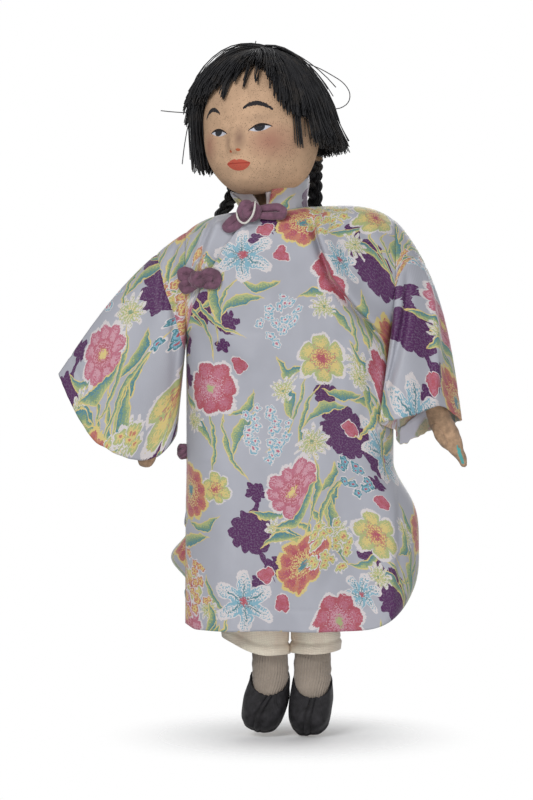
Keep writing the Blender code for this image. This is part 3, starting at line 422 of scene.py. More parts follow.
napped_cloth, tree, sockets, place, tan = mottled("hand_cloth", HAND_COLOUR, 0.95, 0.35, 0.15, 420.0, 0.3)
streak = add_node(tree, "Mapping", place, Vector(STAIN_PLACE) * MM, (0.0, radians(STAIN_LEAN), 0.0),
                  Vector(STAIN_HALF) * MM, vector_type="TEXTURE")[0]
from_stain = add_node(tree, "VectorMath", streak, operation="LENGTH")["Value"]
blot = add_node(tree, "TexNoise", place, None, 700.0, 3.0)["Fac"]
blot_edge = add_node(tree, "Math", blot, 2.0, operation="MULTIPLY")[0]
in_stain = add_node(tree, "Math", from_stain, blot_edge, operation="LESS_THAN")[0]
stained = add_node(tree, "MixRGB", in_stain, tan, (*STAIN_COLOUR, 1.0))[0]
tree.links.new(stained, sockets["Base Color"])
nap = add_node(tree, "TexNoise", place, None, 1500.0, 6.0, 0.7)["Fac"]
raise_grain(tree, sockets, nap, 0.7, 0.4)


def join(shapes):
    """Put several shapes together as one piece."""
    whole = bmesh.new()
    for shape in shapes:
        kept = bpy.data.meshes.new("shape")
        shape.to_mesh(kept)
        shape.free()
        whole.from_mesh(kept)
        bpy.data.meshes.remove(kept)
    return whole


noise.seed_set(LUMP_SEED)
for name, rows in HANDS.items():
    shapes = [stuffed(rows, 30, 40)]
    if name == "left":
        shapes.append(stuffed(THUMB, 18, 18))
    bm = join(shapes)
    for vert in bm.verts:
        vert.co += noise.noise_vector(vert.co * LUMP_CLOSENESS) * LUMP_HEIGHT
    mitt = sew_up("mitt_" + name, bm, napped_cloth)
    fix_on(mitt, "arm_" + name, "hand_cloth", "hand_" + name)
    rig.padded(mitt, HAND_FILL)

# The stockings: off-white ribbed knit tubes, drawn over the feet and up under the trousers.
# The ribs are modelled, and the knit wrinkles a little above the shoe.
KNIT_COLOUR = (0.365, 0.304, 0.25)
STOCKINGS = {"right": ((-9.9, 0.0, -66.0, 6.8, 6.8), (-9.7, 0.0, -78.0, 6.8, 6.8),
                       (-9.1, 0.0, -90.0, 7.1, 7.0), (-8.6, 0.0, -101.0, 7.6, 7.4),
                       (-8.6, -0.6, -109.0, 7.5, 7.2), (-9.7, -4.4, -115.5, 6.5, 4.8),
                       (-11.0, -8.5, -120.0, 5.0, 3.0)),
             "left": ((9.9, 0.0, -66.0, 6.8, 6.8), (10.1, 0.0, -78.0, 6.8, 6.8),
                      (10.0, 0.0, -90.0, 7.1, 7.0), (9.8, 0.0, -101.0, 7.8, 7.4),
                      (9.8, -0.6, -110.0, 7.6, 7.2), (9.6, -4.4, -116.5, 6.6, 4.8),
                      (9.3, -8.5, -121.5, 5.0, 3.0))}
RIBS = 38
RIB_HEIGHT = 0.042
RIB_TWIST = 26.0
WRINKLE_HEIGHT = 0.02


def ribbed(share, angle):
    """How far the knit stands out: its ribs, and the wrinkles above the shoe."""
    wrinkle = WRINKLE_HEIGHT * sin(share * 70.0 + 2.0 * cos(angle)) * exp(-((share - 0.55) / 0.12) ** 2)
    return 1.0 + RIB_HEIGHT * cos(RIBS * angle + RIB_TWIST * share) + wrinkle


white_knit, tree, sockets, place, _ = mottled("white_knit", KNIT_COLOUR, 0.95, 0.65, 0.15, 160.0, 0.12)
stitch = add_node(tree, "TexWave", place, 520.0, 2.0, 2.0, bands_direction="Z")["Fac"]
raise_grain(tree, sockets, stitch, 0.5, 0.2)

for name, rows in STOCKINGS.items():
    stuffed_piece("ribbed_stocking_" + name, rows, white_knit, "leg_" + name, LIMB_FILL, "white_knit",
                  "stocking_" + name, around=4 * RIBS, along=64, relief=ribbed)

# The shoes: black cloth slippers with a seam down the toe and a raw top edge, sewn to a flat sole of layered
# cloth and puckered there. The feet hang, so the toes point down, and both turn to the doll's right.
SHOE_COLOUR = (0.015, 0.014, 0.016)
SOLE_COLOUR = (0.34, 0.25, 0.16)
ANKLES = {"right": (-8.8, 0.0, -109.4), "left": (9.9, 0.0, -110.4)}
FOOT_DROP = 48.0
TOE_TURN = {"right": -16.0, "left": -8.0}
FOOT_LENGTH = 32.0
FOOT_HALF_WIDTH = 7.9
SOLE_DROP = -9.2
SOLE_THICK = 1.8
SOLE_ROOM = 0.5
SOLE_LIFT = 0.5
SHOE_ROOM = 0.75
SHOE_CLOTH = 0.9
# Rings round the foot: height, reach to the toe and to the heel as shares of its length, and width
SOLE_SECTION = (0.0, 0.53, 0.27, 0.88)
SHOE_SECTIONS = ((0.0, 0.56, 0.28, 0.9), (3.0, 0.6, 0.32, 1.03), (6.5, 0.585, 0.325, 1.03),
                 (9.5, 0.5, 0.345, 0.99))
# The top edge: its middle's y, its rise, half width, half depth and slope
TOPLINE = (-0.85, 2.4, 8.2, 9.4, 0.69)
FRAY = 0.45
TOE_SEAM_HALF = 0.06
TOE_SEAM_RIDGE = 0.75
TOE_SEAM_GROOVE = 0.55
WELT = 0.8


def foot_place(name, across, length, height):
    drop = Matrix.Rotation(radians(FOOT_DROP), 4, "X")
    turn = Matrix.Rotation(radians(TOE_TURN[name]), 4, "Z")
    return Matrix.Translation(ANKLES[name]) @ drop @ turn @ Vector((across, length, height))


def foot_section(name, section, room, angle, lift=0.0):
    """One place on an egg-shaped ring round the foot, with the toe at angle -90 degrees."""
    height, toe, heel, width = section
    half = width * FOOT_HALF_WIDTH + room
    wide = cos(angle)
    across = half * (1.0 if wide > 0.0 else -1.0) * abs(wide) ** 0.9 * (1.0 - 0.06 * sin(angle))
    middle = 0.5 + 0.5 * sin(angle) if sin(angle) > 0.0 else 0.5 - 0.5 * abs(sin(angle)) ** 0.68
    length = (-toe * FOOT_LENGTH - room) * (1.0 - middle) + (heel * FOOT_LENGTH + room) * middle
    return foot_place(name, across, length, SOLE_DROP + height + lift)


def ease(share):
    share = min(max(share, 0.0), 1.0)
    return share * share * (3.0 - 2.0 * share)


def shoe_wall(name, around, up):
    """A place on the upper: once round it from the outer side, and from the sole up to the top edge."""
    angle = 2.0 * pi * around
    rings = [foot_section(name, section, SHOE_ROOM, angle) for section in SHOE_SECTIONS]
    ankle = Vector(ANKLES[name])
    y, rise, wide, deep, slope = TOPLINE
    reach = y + deep * sin(angle)
    fray = FRAY * noise.noise(Vector((9.0 * cos(angle), 9.0 * sin(angle), ankle.x)))
    rings.append(ankle + Vector((wide * cos(angle), reach, rise + slope * (reach - y) + fray)))
    from_seam = (angle - 1.5 * pi) / TOE_SEAM_HALF
    seam = TOE_SEAM_RIDGE * exp(-from_seam ** 2) - TOE_SEAM_GROOVE * exp(-(abs(from_seam) - 2.0) ** 2)
    seam *= min(1.0, 3.0 * up)
    toe = max(0.0, -sin(angle)) * (1.0 - up)
    spot = Vector((1.9 * cos(angle), 1.9 * sin(angle), 3.0 * up + ankle.x))
    puckers = (0.35 + 0.9 * toe) * noise.noise(spot)
    welt = WELT * exp(-((up - 0.07) / 0.05) ** 2)
    out = glide(rings, up)
    middle = foot_place(name, 0.0, 0.16 * FOOT_LENGTH * (2.0 * up - 1.0) - 4.0, SOLE_DROP + 5.0)
    return out + (out - middle).normalized() * (seam + puckers + welt)


def lay_cloth(place, columns, rows, joined=False, trim=None, lie=None, pieced=None):
    """Lay a woven piece over place(across, down), for shares from 0 to 1, with its flat cut as the UV map.

    A joined piece is sewn into a tube, trim picks the places that are cut away, and lie moves the flat places
    of a row. A pieced one is seamed a share of the way down, to cloth cut from another part of the length.
    """
    bm = bmesh.new()
    bmesh.ops.create_grid(bm, x_segments=columns, y_segments=rows, size=0.5)
    grid = {}
    for vert in bm.verts:
        grid[round((0.5 - vert.co.y) * rows), round((vert.co.x + 0.5) * columns)] = vert
    for (row, column), vert in grid.items():
        vert.co = place(column / columns, row / rows)
    flat = {}
    for row in range(rows + 1):
        width = 0.0
        for column in range(columns + 1):
            if column:
                width += (grid[row, column].co - grid[row, column - 1].co).length
            above = flat[grid[row - 1, column]][1] if row else 0.0
            step = (grid[row, column].co - grid[row - 1, column].co).length if row else 0.0
            flat[grid[row, column]] = Vector((width, above - step))
        for column in range(columns + 1):
            flat[grid[row, column]].x -= width / 2.0
    if lie:
        for row in range(rows + 1):
            line = [grid[row, column] for column in range(columns + 1)]
            flat.update(zip(line, lie([vert.co for vert in line], [flat[vert] for vert in line])))
    seam, shift = pieced or (2.0, (0.0, 0.0))
    below = {vert for (row, column), vert in grid.items() if row > seam * rows}
    cut = bm.loops.layers.uv.new("cut")
    for face in bm.faces:
        moved = Vector(shift) if any(vert in below for vert in face.verts) else Vector((0.0, 0.0))
        for loop in face.loops:
            loop[cut].uv = flat[loop.vert] + moved
    if trim:
        away = [face for face in bm.faces if trim(face.calc_center_median())]
        bmesh.ops.delete(bm, geom=away, context="FACES")
    if joined:
        bmesh.ops.remove_doubles(bm, verts=bm.verts, dist=0.0005)
        bmesh.ops.recalc_face_normals(bm, faces=bm.faces)
    return bm


def set_thickness(piece, thick, inside=None):
    """Give a sheet of cloth its thickness, with another finish on its inner side if one is given."""
    wall = piece.modifiers.new("thickness", "SOLIDIFY")
    wall.thickness = thick * MM
    wall.offset = 0.0
    if inside:
        piece.data.materials.append(inside)
        wall.material_offset = 1
    dressed = piece.evaluated_get(bpy.context.evaluated_depsgraph_get())
    made = bpy.data.meshes.new_from_object(dressed)
    piece.modifiers.clear()
    piece.data = made


def cloth_piece(name, bm, look, thick, slot, *nodes, held="hung", rests_on=(), inside=None):
    """Sew up a sheet of cloth and declare its flat cut."""
    cut = bm.loops.layers.uv["cut"]
    spots = [loop[cut].uv for face in bm.faces for loop in face.loops]
    width, length = (max(s[i] for s in spots) - min(s[i] for s in spots) for i in (0, 1))
    area = sum(face.calc_area() for face in bm.faces)
    piece = sew_up(name, bm, look)
    set_thickness(piece, thick, inside)
    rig.replaces(piece, *nodes)
    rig.slot(piece, slot)
    share = min(max(area / (width * length), 0.31), 1.0)
    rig.sheet(piece, flat=(width * MM, length * MM), held=held, rests_on=rests_on,
             area=share * width * length * MM * MM)
    return piece


black_cloth, tree, sockets, place, _ = mottled("black_cloth", SHOE_COLOUR, 0.6, 0.02, 0.2, 380.0, 0.75)
weave(tree, sockets, place, 700.0, 0.5)
sole_cloth, tree, sockets, place, _ = mottled("sole_cloth", SOLE_COLOUR, 0.95, 0.1, 0.2, 350.0, 0.35)
weave(tree, sockets, place, 600.0, 0.5)

for name in ANKLES:
    bm = lay_cloth(lambda around, down: shoe_wall(name, around, 1.0 - down), 180, 40, joined=True)
    upper = cloth_piece("slipper_upper_" + name, bm, black_cloth, SHOE_CLOTH, "black_cloth",
                        "shoe_upper_" + name, held="stretched", rests_on=["ribbed_stocking_" + name])
    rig.ride(upper, "leg_" + name)
    bm = bmesh.new()
    bmesh.ops.create_cone(bm, cap_ends=True, segments=72, radius1=1.0, radius2=1.0, depth=2.0)
    for vert in bm.verts:
        lift = SOLE_LIFT - (0.0 if vert.co.z > 0.0 else SOLE_THICK)
        vert.co = foot_section(name, SOLE_SECTION, SOLE_ROOM, atan2(vert.co.y, vert.co.x), lift)
    rims = [edge for edge in bm.edges if any(len(face.verts) > 4 for face in edge.link_faces)]
    bmesh.ops.bevel(bm, geom=rims, offset=0.5, offset_type="OFFSET", affect="EDGES", segments=3,
                    profile=0.5, material=-1)
    sole = sew_up("slipper_sole_" + name, bm, sole_cloth)
    fix_on(sole, "leg_" + name, "sole_cloth", "shoe_sole_" + name)

# The trousers: soft cream cotton, a gathered seat and two wide short legs with a turned and stitched hem.
# The legs are cut with the seat, so their tops bend at the hips.
CREAM_COLOUR = (1.0, 0.84, 0.68)
TROUSER_TOP = -17.0
TROUSER_HALF_DEPTH = 10.6
TROUSER_INNER = 0.7
TROUSER_OUT = {"right": (22.5, 21.5, 24.0, 27.0, 28.5), "left": (22.5, 21.5, 21.5, 22.5, 21.5)}
HEM_DROP = {"right": (-96.2, 7.0), "left": (-95.6, 2.5)}
HEM_BAND = 4.2
HEM_TURN = 0.7
TROUSER_FLARE = 0.14
TROUSER_CLOTH = 0.6
SEAT_HALF_WIDTH = 25.6
SEAT_HALF_DEPTH = 14.6
SEAT_TOP = 10.0
SEAT_LENGTH = 31.0
SEAT_GATHER = 0.4


def seat_point(around, down):
    angle, gather = 2.0 * pi * around, SEAT_GATHER * sin(60.0 * around)
    return Vector(((SEAT_HALF_WIDTH + gather) * cos(angle), (SEAT_HALF_DEPTH + gather) * sin(angle),
                   SEAT_TOP - SEAT_LENGTH * down))


def trouser_leg(name, side, around, down):
    """A place on a trouser leg: once round it from the outer side, and from the top down to its hem."""
    angle = 2.0 * pi * around
    hem, tilt = HEM_DROP[name]
    reach = glide([(out, 0.0) for out in TROUSER_OUT[name]], down)[0]
    half = (reach - TROUSER_INNER) / 2.0
    x = TROUSER_INNER + half + half * cos(angle)
    y = TROUSER_HALF_DEPTH * sin(angle) * (1.0 + TROUSER_FLARE * down)
    hem += tilt * max(0.0, (x - 10.0) / 18.0) ** 1.5
    z = TROUSER_TOP + (hem - TROUSER_TOP) * down
    from_hem = z - hem
    bunch = 0.5 * sin(z * 0.55 + 2.2 * sin(angle) + side)
    bunch += 1.6 * noise.noise(Vector((x * 0.11, y * 0.11, z * 0.09)))
    bunch *= min(1.0, from_hem / 12.0 + 0.35) * (1.0 - 0.9 * max(0.0, -cos(angle)))
    turned = HEM_TURN if from_hem < HEM_BAND else 0.0
    stitched = HEM_TURN * exp(-((from_hem - HEM_BAND) / 0.6) ** 2)
    grow = bunch + turned - stitched
    return Vector((side * (x + grow * cos(angle)), y + grow * sin(angle), z))


cream_cotton, tree, sockets, place, cream = mottled("cream_cotton", CREAM_COLOUR, 0.95, 0.4, 0.15, 110.0, 0.1)
threads = add_node(tree, "UVMap", uv_map="cut")[0]
raised = weave(tree, sockets, threads, 0.42, 0.8)
gaps = add_node(tree, "MapRange", raised, 0.0, 0.5, 0.88, 1.03)[0]
gauze = add_node(tree, "VectorMath", cream, operation="SCALE")["Vector"]
tree.links.new(gaps, gauze.node.inputs["Scale"])
tree.links.new(gauze, sockets["Base Color"])

bm = lay_cloth(seat_point, 120, 24, joined=True)
seat = cloth_piece("gathered_seat", bm, cream_cotton, TROUSER_CLOTH, "cream_cotton", "trouser_seat",
                   held="gathered", rests_on=["stuffed_torso"])
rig.ride(seat, "torso")
for name, side in SIDES:
    bm = lay_cloth(lambda around, down: trouser_leg(name, side, around, down), 110, 100, joined=True)
    leg = cloth_piece("wide_leg_" + name, bm, cream_cotton, TROUSER_CLOTH, "cream_cotton",
                      "trouser_leg_" + name, rests_on=["gathered_seat"])
    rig.blend(leg, "torso", "leg_" + name, **HIP_BEND)

# The gown's cloth: thin lilac-grey satin with sprays of flowers printed on it in stippled colours. The
# flowers, leaves, clusters and plum shadows are drawn on the flat cut, and repeat as a printed cloth does.
REPEAT = (118.0, 150.0)
INKS = {"cloth": (0.425, 0.432, 0.482), "plum": (0.068, 0.006, 0.076), "red": (0.42, 0.075, 0.105),
        "pink": (0.6, 0.3, 0.36), "orange": (0.52, 0.19, 0.12), "yellow": (0.69, 0.55, 0.2),
        "aqua": (0.21, 0.42, 0.52), "teal": (0.07, 0.22, 0.26), "green": (0.2, 0.31, 0.18),
        "lime": (0.41, 0.46, 0.2), "cream": (0.69, 0.64, 0.64), "rose": (0.48, 0.14, 0.2)}


class Reckon:
    """A number in a node tree that can be added, multiplied and compared as in plain sums."""

    def __init__(self, tree, socket):
        self.tree = tree
        self.socket = socket

    def step(self, operation, *others):
        inputs = [other.socket if isinstance(other, Reckon) else other for other in (self, *others)]
        return Reckon(self.tree, add_node(self.tree, "Math", *inputs, operation=operation)[0])

    def __add__(self, other):
        return self.step("ADD", other)

    def __sub__(self, other):
        return self.step("SUBTRACT", other)

    def __mul__(self, other):
        return self.step("MULTIPLY", other)

    def __truediv__(self, other):
        return self.step("DIVIDE", other)

    def __pow__(self, other):
        return self.step("POWER", other)

    def __lt__(self, other):
        return self.step("LESS_THAN", other)

    def __gt__(self, other):
        return self.step("GREATER_THAN", other)

    def __abs__(self):
        return self.step("ABSOLUTE")


def motif(name, numbers, inks, draw):
    """A motif as a node group: each layer that draw gives is an area and the ink laid on it."""
    group = bpy.data.node_groups.new(name, "ShaderNodeTree")
    for label in ("Across", "Up", "Grain", *numbers):
        group.interface.new_socket(label, in_out="INPUT", socket_type="NodeSocketFloat")
    for label in ("Under", *inks):
        group.interface.new_socket(label, in_out="INPUT", socket_type="NodeSocketColor")
    group.interface.new_socket("Colour", in_out="OUTPUT", socket_type="NodeSocketColor")
    given = {s.name: Reckon(group, s) for s in group.nodes.new("NodeGroupInput").outputs if s.name}
    colour = given["Under"].socket
    for area, ink in draw(given):
        colour = add_node(group, "MixRGB", area.socket, colour, given[ink].socket)[0]
    group.links.new(colour, group.nodes.new("NodeGroupOutput").inputs["Colour"])
    return group


def from_middle(given):
    """Places measured from the motif's middle, turned with it, in the nearest repeat."""
    x = (given["Across"] - given["X"]).step("WRAP", REPEAT[0] / 2.0, -REPEAT[0] / 2.0)
    y = (given["Up"] - given["Y"]).step("WRAP", REPEAT[1] / 2.0, -REPEAT[1] / 2.0)
    c, s = given["Turn"].step("COSINE"), given["Turn"].step("SINE")
    return x * c + y * s, y * c - x * s


def round_middle(given):
    """How far a place is from a flower's middle, as a share of its size, and half its turn in petals."""
    x, y = from_middle(given)
    return (x * x + y * y) ** 0.5 / given["Size"], y.step("ARCTAN2", x) * given["Petals"] * 0.5


def draw_bloom(given):
    far, half_angle = round_middle(given)
    middle, notch = abs(half_angle.step("COSINE")), abs(half_angle.step("SINE"))
    body = given["Notch"] * -1.0 + 1.0
    grain = given["Grain"] - 0.5
    out = far / (middle ** 0.5 * given["Notch"] + body) + grain * 0.06
    inner = far / (notch ** 0.5 * given["Notch"] + body) + grain * 0.12
    speckled = out + grain * 0.5
    yield out < 1.12, "Halo"
    yield out < 1.0, "Petal"
    yield (speckled > 0.86) * (out < 1.0), "Rim"
    yield (middle * 1.1 + grain * 0.9 < 0.5) * (out < 0.98), "Rim"
    yield inner < 0.56, "Rim"
    yield (inner + grain * 0.3) < 0.47, "Inner"
    yield (inner + grain * 0.6 > 0.36) * (inner < 0.47), "Petal"
    yield (far + grain * 0.2) < 0.17, "Heart"


def draw_star(given):
    far, half_angle = round_middle(given)
    middle = abs(half_angle.step("COSINE"))
    grain = given["Grain"] - 0.5
    body = given["Notch"] * -1.0 + 1.0
    out = far / (middle ** 1.3 * given["Notch"] + body) + grain * 0.06
    yield out < 1.12, "Halo"
    yield out < 1.0, "Petal"
    yield (middle + grain * 1.1 + out * 0.2 < 0.95) * (out < 0.97), "Rim"
    yield (middle > 0.988) * (out + grain * 0.5 < 0.7), "Inner"
    yield (out + grain * 0.5) < 0.24, "Inner"
    yield (far + grain * 0.15) < 0.13, "Heart"


def draw_blade(given):
    x, y = from_middle(given)
    along = x / given["Size"]
    off = y - along * along * given["Bend"]
    half = (abs(along) ** 1.7 * -1.0 + 1.0) * given["Width"]
    inside = abs(off) < half
    tone = off / half + (given["Grain"] - 0.5) * 1.1
    yield abs(off) < half + 0.4, "Halo"
    yield inside, "Petal"
    yield inside * (tone > 0.42), "Inner"
    yield inside * (tone < -0.4), "Rim"


def draw_cluster(given):
    x, y = from_middle(given)
    floret = given["Floret"]
    inside = (x * x * 1.5 + y * y) ** 0.5 < given["Size"]
    yield inside * (floret < 1.25), "Halo"
    yield inside * (floret < 1.0), "Rim"
    yield inside * ((floret + given["Grain"] * 0.6) < 0.95), "Petal"
    yield inside * (floret < 0.27), "Heart"


def draw_shadow(given):
    far, half_angle = round_middle(given)
    middle = abs(half_angle.step("COSINE"))
    yield far / (middle ** 0.6 * given["Notch"] + given["Notch"] * -1.0 + 1.0) < 1.0, "Petal"


SPOT = ("X", "Y", "Turn", "Size")
LAYERS = ("Halo", "Rim", "Petal", "Inner", "Heart")
MOTIFS = {name: motif(name, (*SPOT, *numbers), LAYERS, draw) for name, numbers, draw in (
    ("bloom", ("Petals", "Notch"), draw_bloom), ("star", ("Petals", "Notch"), draw_star),
    ("blade", ("Width", "Bend"), draw_blade), ("cluster", ("Floret",), draw_cluster),
    ("shadow", ("Petals", "Notch"), draw_shadow))}
# Each flower: its motif, its size, its petals, how deep they are parted, and its inks in the layers' order
BLOOMS = {"rose": ("bloom", 11.4, 7.0, 0.2, ("cream", "red", "rose", "pink", "lime")),
          "pink": ("bloom", 10.6, 9.0, 0.2, ("cream", "rose", "pink", "red", "yellow")),
          "gold": ("bloom", 10.2, 6.0, 0.34, ("cream", "lime", "yellow", "orange", "red")),
          "flame": ("bloom", 11.2, 10.0, 0.16, ("yellow", "orange", "red", "yellow", "teal")),
          "lily": ("star", 12.4, 6.0, 0.55, ("cream", "aqua", "cream", "teal", "red")),
          "daisy": ("star", 10.4, 11.0, 0.5, ("cream", "lime", "cream", "yellow", "green")),
          "bud": ("bloom", 5.5, 3.0, 0.3, ("cream", "red", "rose", "red", "red"))}
LEAF_INKS = ("yellow", "teal", "green", "lime", "green")
# Each spray: its flower, its place on the repeat, how far it is turned, and its smaller flower
SPRAYS = (("rose", -32.0, 52.0, 10.0, "bud"), ("gold", 16.0, 60.0, -25.0, "daisy"),
          ("lily", 45.0, 34.0, 150.0, "bud"), ("flame", -46.0, 6.0, -20.0, "gold"),
          ("pink", 3.0, 10.0, 25.0, "daisy"), ("gold", 40.0, -12.0, 50.0, "bud"),
          ("lily", -18.0, -38.0, -30.0, "bud"), ("rose", 24.0, -52.0, 20.0, "lily"),
          ("flame", 56.0, -62.0, 5.0, "bud"), ("pink", -50.0, -50.0, 40.0, "gold"),
          ("rose", 48.0, 66.0, -15.0, "bud"), ("flame", 8.0, -22.0, 160.0, "bud"))
# Leaves and stems of a spray: place, turn, half length, half width and bend
LEAVES = ((-8.0, -16.0, 130.0, 9.0, 2.0, 2.0), (9.0, -19.0, 55.0, 10.5, 2.2, -2.5),
          (-2.0, -23.0, 84.0, 14.0, 0.75, 3.0), (14.0, -9.0, 35.0, 8.0, 1.8, 2.5),
          (3.0, -26.0, 102.0, 13.0, 0.8, -3.0), (-13.0, -6.0, 160.0, 8.0, 1.6, -2.0))
# Where a spray's smaller flower, its daisy and its main flower are, and their share of the full size
SPRAY_HEADS = ((14.0, 9.0, 0.66), (-12.5, -12.5, 0.5), (0.0, 0.0, 1.0))
# Clusters of small florets: place, size and inks
CLUSTERS = ((-8.0, 36.0, 13.0, ("cream", "aqua", "cream", "aqua", "rose")),
            (-46.0, -34.0, 14.0, ("cream", "orange", "yellow", "yellow", "orange")),
            (30.0, 12.0, 9.0, ("cream", "teal", "aqua", "aqua", "red")),
            (20.0, -20.0, 12.0, ("cream", "lime", "yellow", "yellow", "orange")),
            (-2.0, -66.0, 11.0, ("cream", "aqua", "cream", "aqua", "rose")))
FLORET = 4.6
# Plum shadows: place, turn and size of the largest head of each
SHADOWS = ((26.0, 31.0, 20.0, 11.0), (-14.0, -8.0, -15.0, 10.0), (50.0, -34.0, 35.0, 11.0),
           (-55.0, 70.0, -30.0, 10.0), (-40.0, -62.0, 15.0, 9.0))
# Heads of a shadow: place, share of its size, petals and notch; and its stems: place, turn and half length
SHADOW_HEADS = ((0.0, 0.0, 1.0, 11.0, 0.2), (13.0, -11.0, 0.55, 7.0, 0.4), (-3.0, 17.0, 0.5, 5.0, 0.45),
                (8.0, -20.0, 0.36, 5.0, 0.5))
SHADOW_STEMS = ((7.0, -9.0, -55.0, 9.0), (-1.5, 11.0, 98.0, 8.0))
PLUM = ("plum",) * len(LAYERS)
# The inner side's ground: partly the paler wrong side of the print, partly painted light that brightens the shaded
# insides as if lit through the thin cloth
INSIDE_GROUND_PALE_WITH_PAINTED_LIGHT = (0.8, 0.8, 0.9)


def printed(tree, sockets, strength, plain=INKS["cloth"]):
    """Print the cloth: lay every motif over the plain ground in turn, and set the weave on top."""
    cut = add_node(tree, "UVMap", uv_map="cut")[0]
    shake = add_node(tree, "TexNoise", cut, None, 0.17, 3.0, 0.5)["Color"]
    hand = add_node(tree, "VectorMath", shake, (5.0, 5.0, 0.0), cut, operation="MULTIPLY_ADD")[0]
    across, up, _ = add_node(tree, "SeparateXYZ", hand)
    grain = add_node(tree, "TexNoise", cut, None, 1.5, 1.0)["Fac"]
    grain = add_node(tree, "MapRange", grain, 0.32, 0.68)[0]
    cells = add_node(tree, "TexVoronoi", hand, None, 1.0 / FLORET, voronoi_dimensions="2D")
    cell_x, cell_y, _ = (Reckon(tree, s) for s in add_node(tree, "SeparateXYZ", cells["Position"]))
    turn = (Reckon(tree, up) - cell_y).step("ARCTAN2", Reckon(tree, across) - cell_x)
    floret = Reckon(tree, cells["Distance"]) / (abs((turn * 2.5).step("COSINE")) * 0.16 + 0.3)
    ground = mottle(tree, sockets, add_node(tree, "TexCoord")["Object"], 22.0, *shades(plain, 0.06))
    colour = ground

    def stamp(kind, x, y, turn, size, inks, *form):
        nonlocal colour
        made = tree.nodes.new("ShaderNodeGroup")
        made.node_tree = MOTIFS[kind]
        spots = (cell_x.socket, cell_y.socket) if kind == "cluster" else (across, up)
        for socket, value in zip(made.inputs, (*spots, grain, x, y, radians(turn), size, *form, colour)):
            if isinstance(value, bpy.types.NodeSocket):
                tree.links.new(value, socket)
            else:
                socket.default_value = value
        for layer, ink in zip(LAYERS, inks):
            made.inputs[layer].default_value = (*INKS[ink], 1.0)
        colour = made.outputs[0]

    def turned(x, y, dx, dy, turn):
        c, s = cos(radians(turn)), sin(radians(turn))
        return x + dx * c - dy * s, y + dx * s + dy * c

    for x, y, turn, size in SHADOWS:
        for dx, dy, share, petals, notch in SHADOW_HEADS:
            stamp("shadow", *turned(x, y, dx, dy, turn), turn, size * share, PLUM, petals, notch)
        for dx, dy, lean, length in SHADOW_STEMS:
            stamp("blade", *turned(x, y, dx, dy, turn), turn + lean, length, PLUM, 0.9, 1.0)
    for flower, x, y, turn, small in SPRAYS:
        for dx, dy, lean, length, wide, bend in LEAVES:
            stamp("blade", *turned(x, y, dx, dy, turn), turn + lean, length, LEAF_INKS, wide, bend)
        for name, (dx, dy, share) in zip((small, "daisy", flower), SPRAY_HEADS):
            kind, size, petals, notch, inks = BLOOMS[name]
            stamp(kind, *turned(x, y, dx, dy, turn), turn, size * share, inks, petals, notch)
    for x, y, size, inks in CLUSTERS:
        stamp("cluster", x, y, 0.0, size, inks, floret.socket)
    cover = add_node(tree, "MapRange", grain, 0.0, 0.6, 0.82 * strength, 1.0 * strength)[0]
    faded = add_node(tree, "MixRGB", cover, ground, colour)[0]
    tree.links.new(faded, sockets["Base Color"])
    weave(tree, sockets, cut, 0.62, 0.25)


printed_satin, tree, sockets = finish("printed_rayon", INKS["cloth"], 0.42, 0.1, 0.28)
printed(tree, sockets, 1.0)
# The inner side: fainter print on a much paler ground, part the wrong side of the print and part painted light
satin_inside, tree, sockets = finish("satin_inside", INKS["cloth"], 0.6, 0.1, 0.3)
printed(tree, sockets, 0.72, INSIDE_GROUND_PALE_WITH_PAINTED_LIGHT)

# The gown: a front that folds over to the doll's right and closes along a curved edge, an underlap below that
# edge, and a back. Front and back hang open at the sides below the slits, and the skirts lift there.
ARMHOLE_X = 45.0
ARMPIT_Z = 41.0
ARMHOLE_HALF_DEPTH = 14.5
SHOULDER_Z = 96.5
GOWN_HALF_DEPTH = 24.5
GOWN_HALF_WIDTH = 44.8
SLIT_Z = -13.0
SKIRT_LENGTH = 71.5
SEAM_GAP = 0.25
NECK_X = -7.0
NECK_HOLE = 15.0
NECK_HOLE_Z = 70.0
SATIN = 0.4
FOLD_DEPTH = 2.2
# How far the skirts' edges stand out: bowed at the left, and leaning or flicked out at the right
FRONT_BOW = 10.8
BACK_BOW = 9.0
FRONT_LEAN = 2.5
BACK_FLICK = 17.0
# How far the hems rise to the corners: the front's left and right ones, and the back's right and left ones
FRONT_RISE = (15.0, 2.6)
BACK_RISE = (5.2, 19.0)
HEM_STITCH = (9.0, 0.35)
# Where the skirts bend from the torso to their own bodies, in metres
SKIRT_BEND = {"start": (0.0, 0.0, -0.009), "end": (0.0, 0.0, -0.021)}
# The curved edge of the front, from the throat to the underarm, as places seen from the front
OPENING = ((-17.0, 97.0), (-22.0, 87.0), (-29.0, 77.0), (-36.0, 66.0), (-41.5, 54.0), (-44.6, 43.0))
# Creases of the front: the places that each runs through, seen from the front, its depth and its half width
CREASES = ((((8.0, 95.0), (12.0, 82.0), (17.5, 66.0), (27.0, 54.0), (36.0, 44.0), (47.0, 34.0)), 6.2, 2.4),
           (((-31.0, 94.0), (-36.0, 82.0), (-42.0, 66.0)), 3.4, 2.0),
           (((-37.0, 92.0), (-41.0, 80.0), (-44.0, 70.0)), 1.8, 1.6),
           (((29.0, 90.0), (38.0, 74.0), (43.5, 60.0)), 1.5, 3.6),
           (((39.0, 36.0), (34.0, 16.0), (31.0, -6.0)), 1.8, 4.5),
           (((-43.0, 44.0), (-32.0, 34.0), (-20.0, 20.0)), 1.4, 5.0))
# The bodice's share of the rows of the cut, and the underlap's share of their length
BODICE_SHARE = 0.61
UNDERLAP_SHARE = 0.42
UNDERLAP_WIDTH = 0.16


def shoulder_line(x):
    return SHOULDER_Z + 0.06 * x - 7.5 * (abs(x) / ARMHOLE_X) ** 5


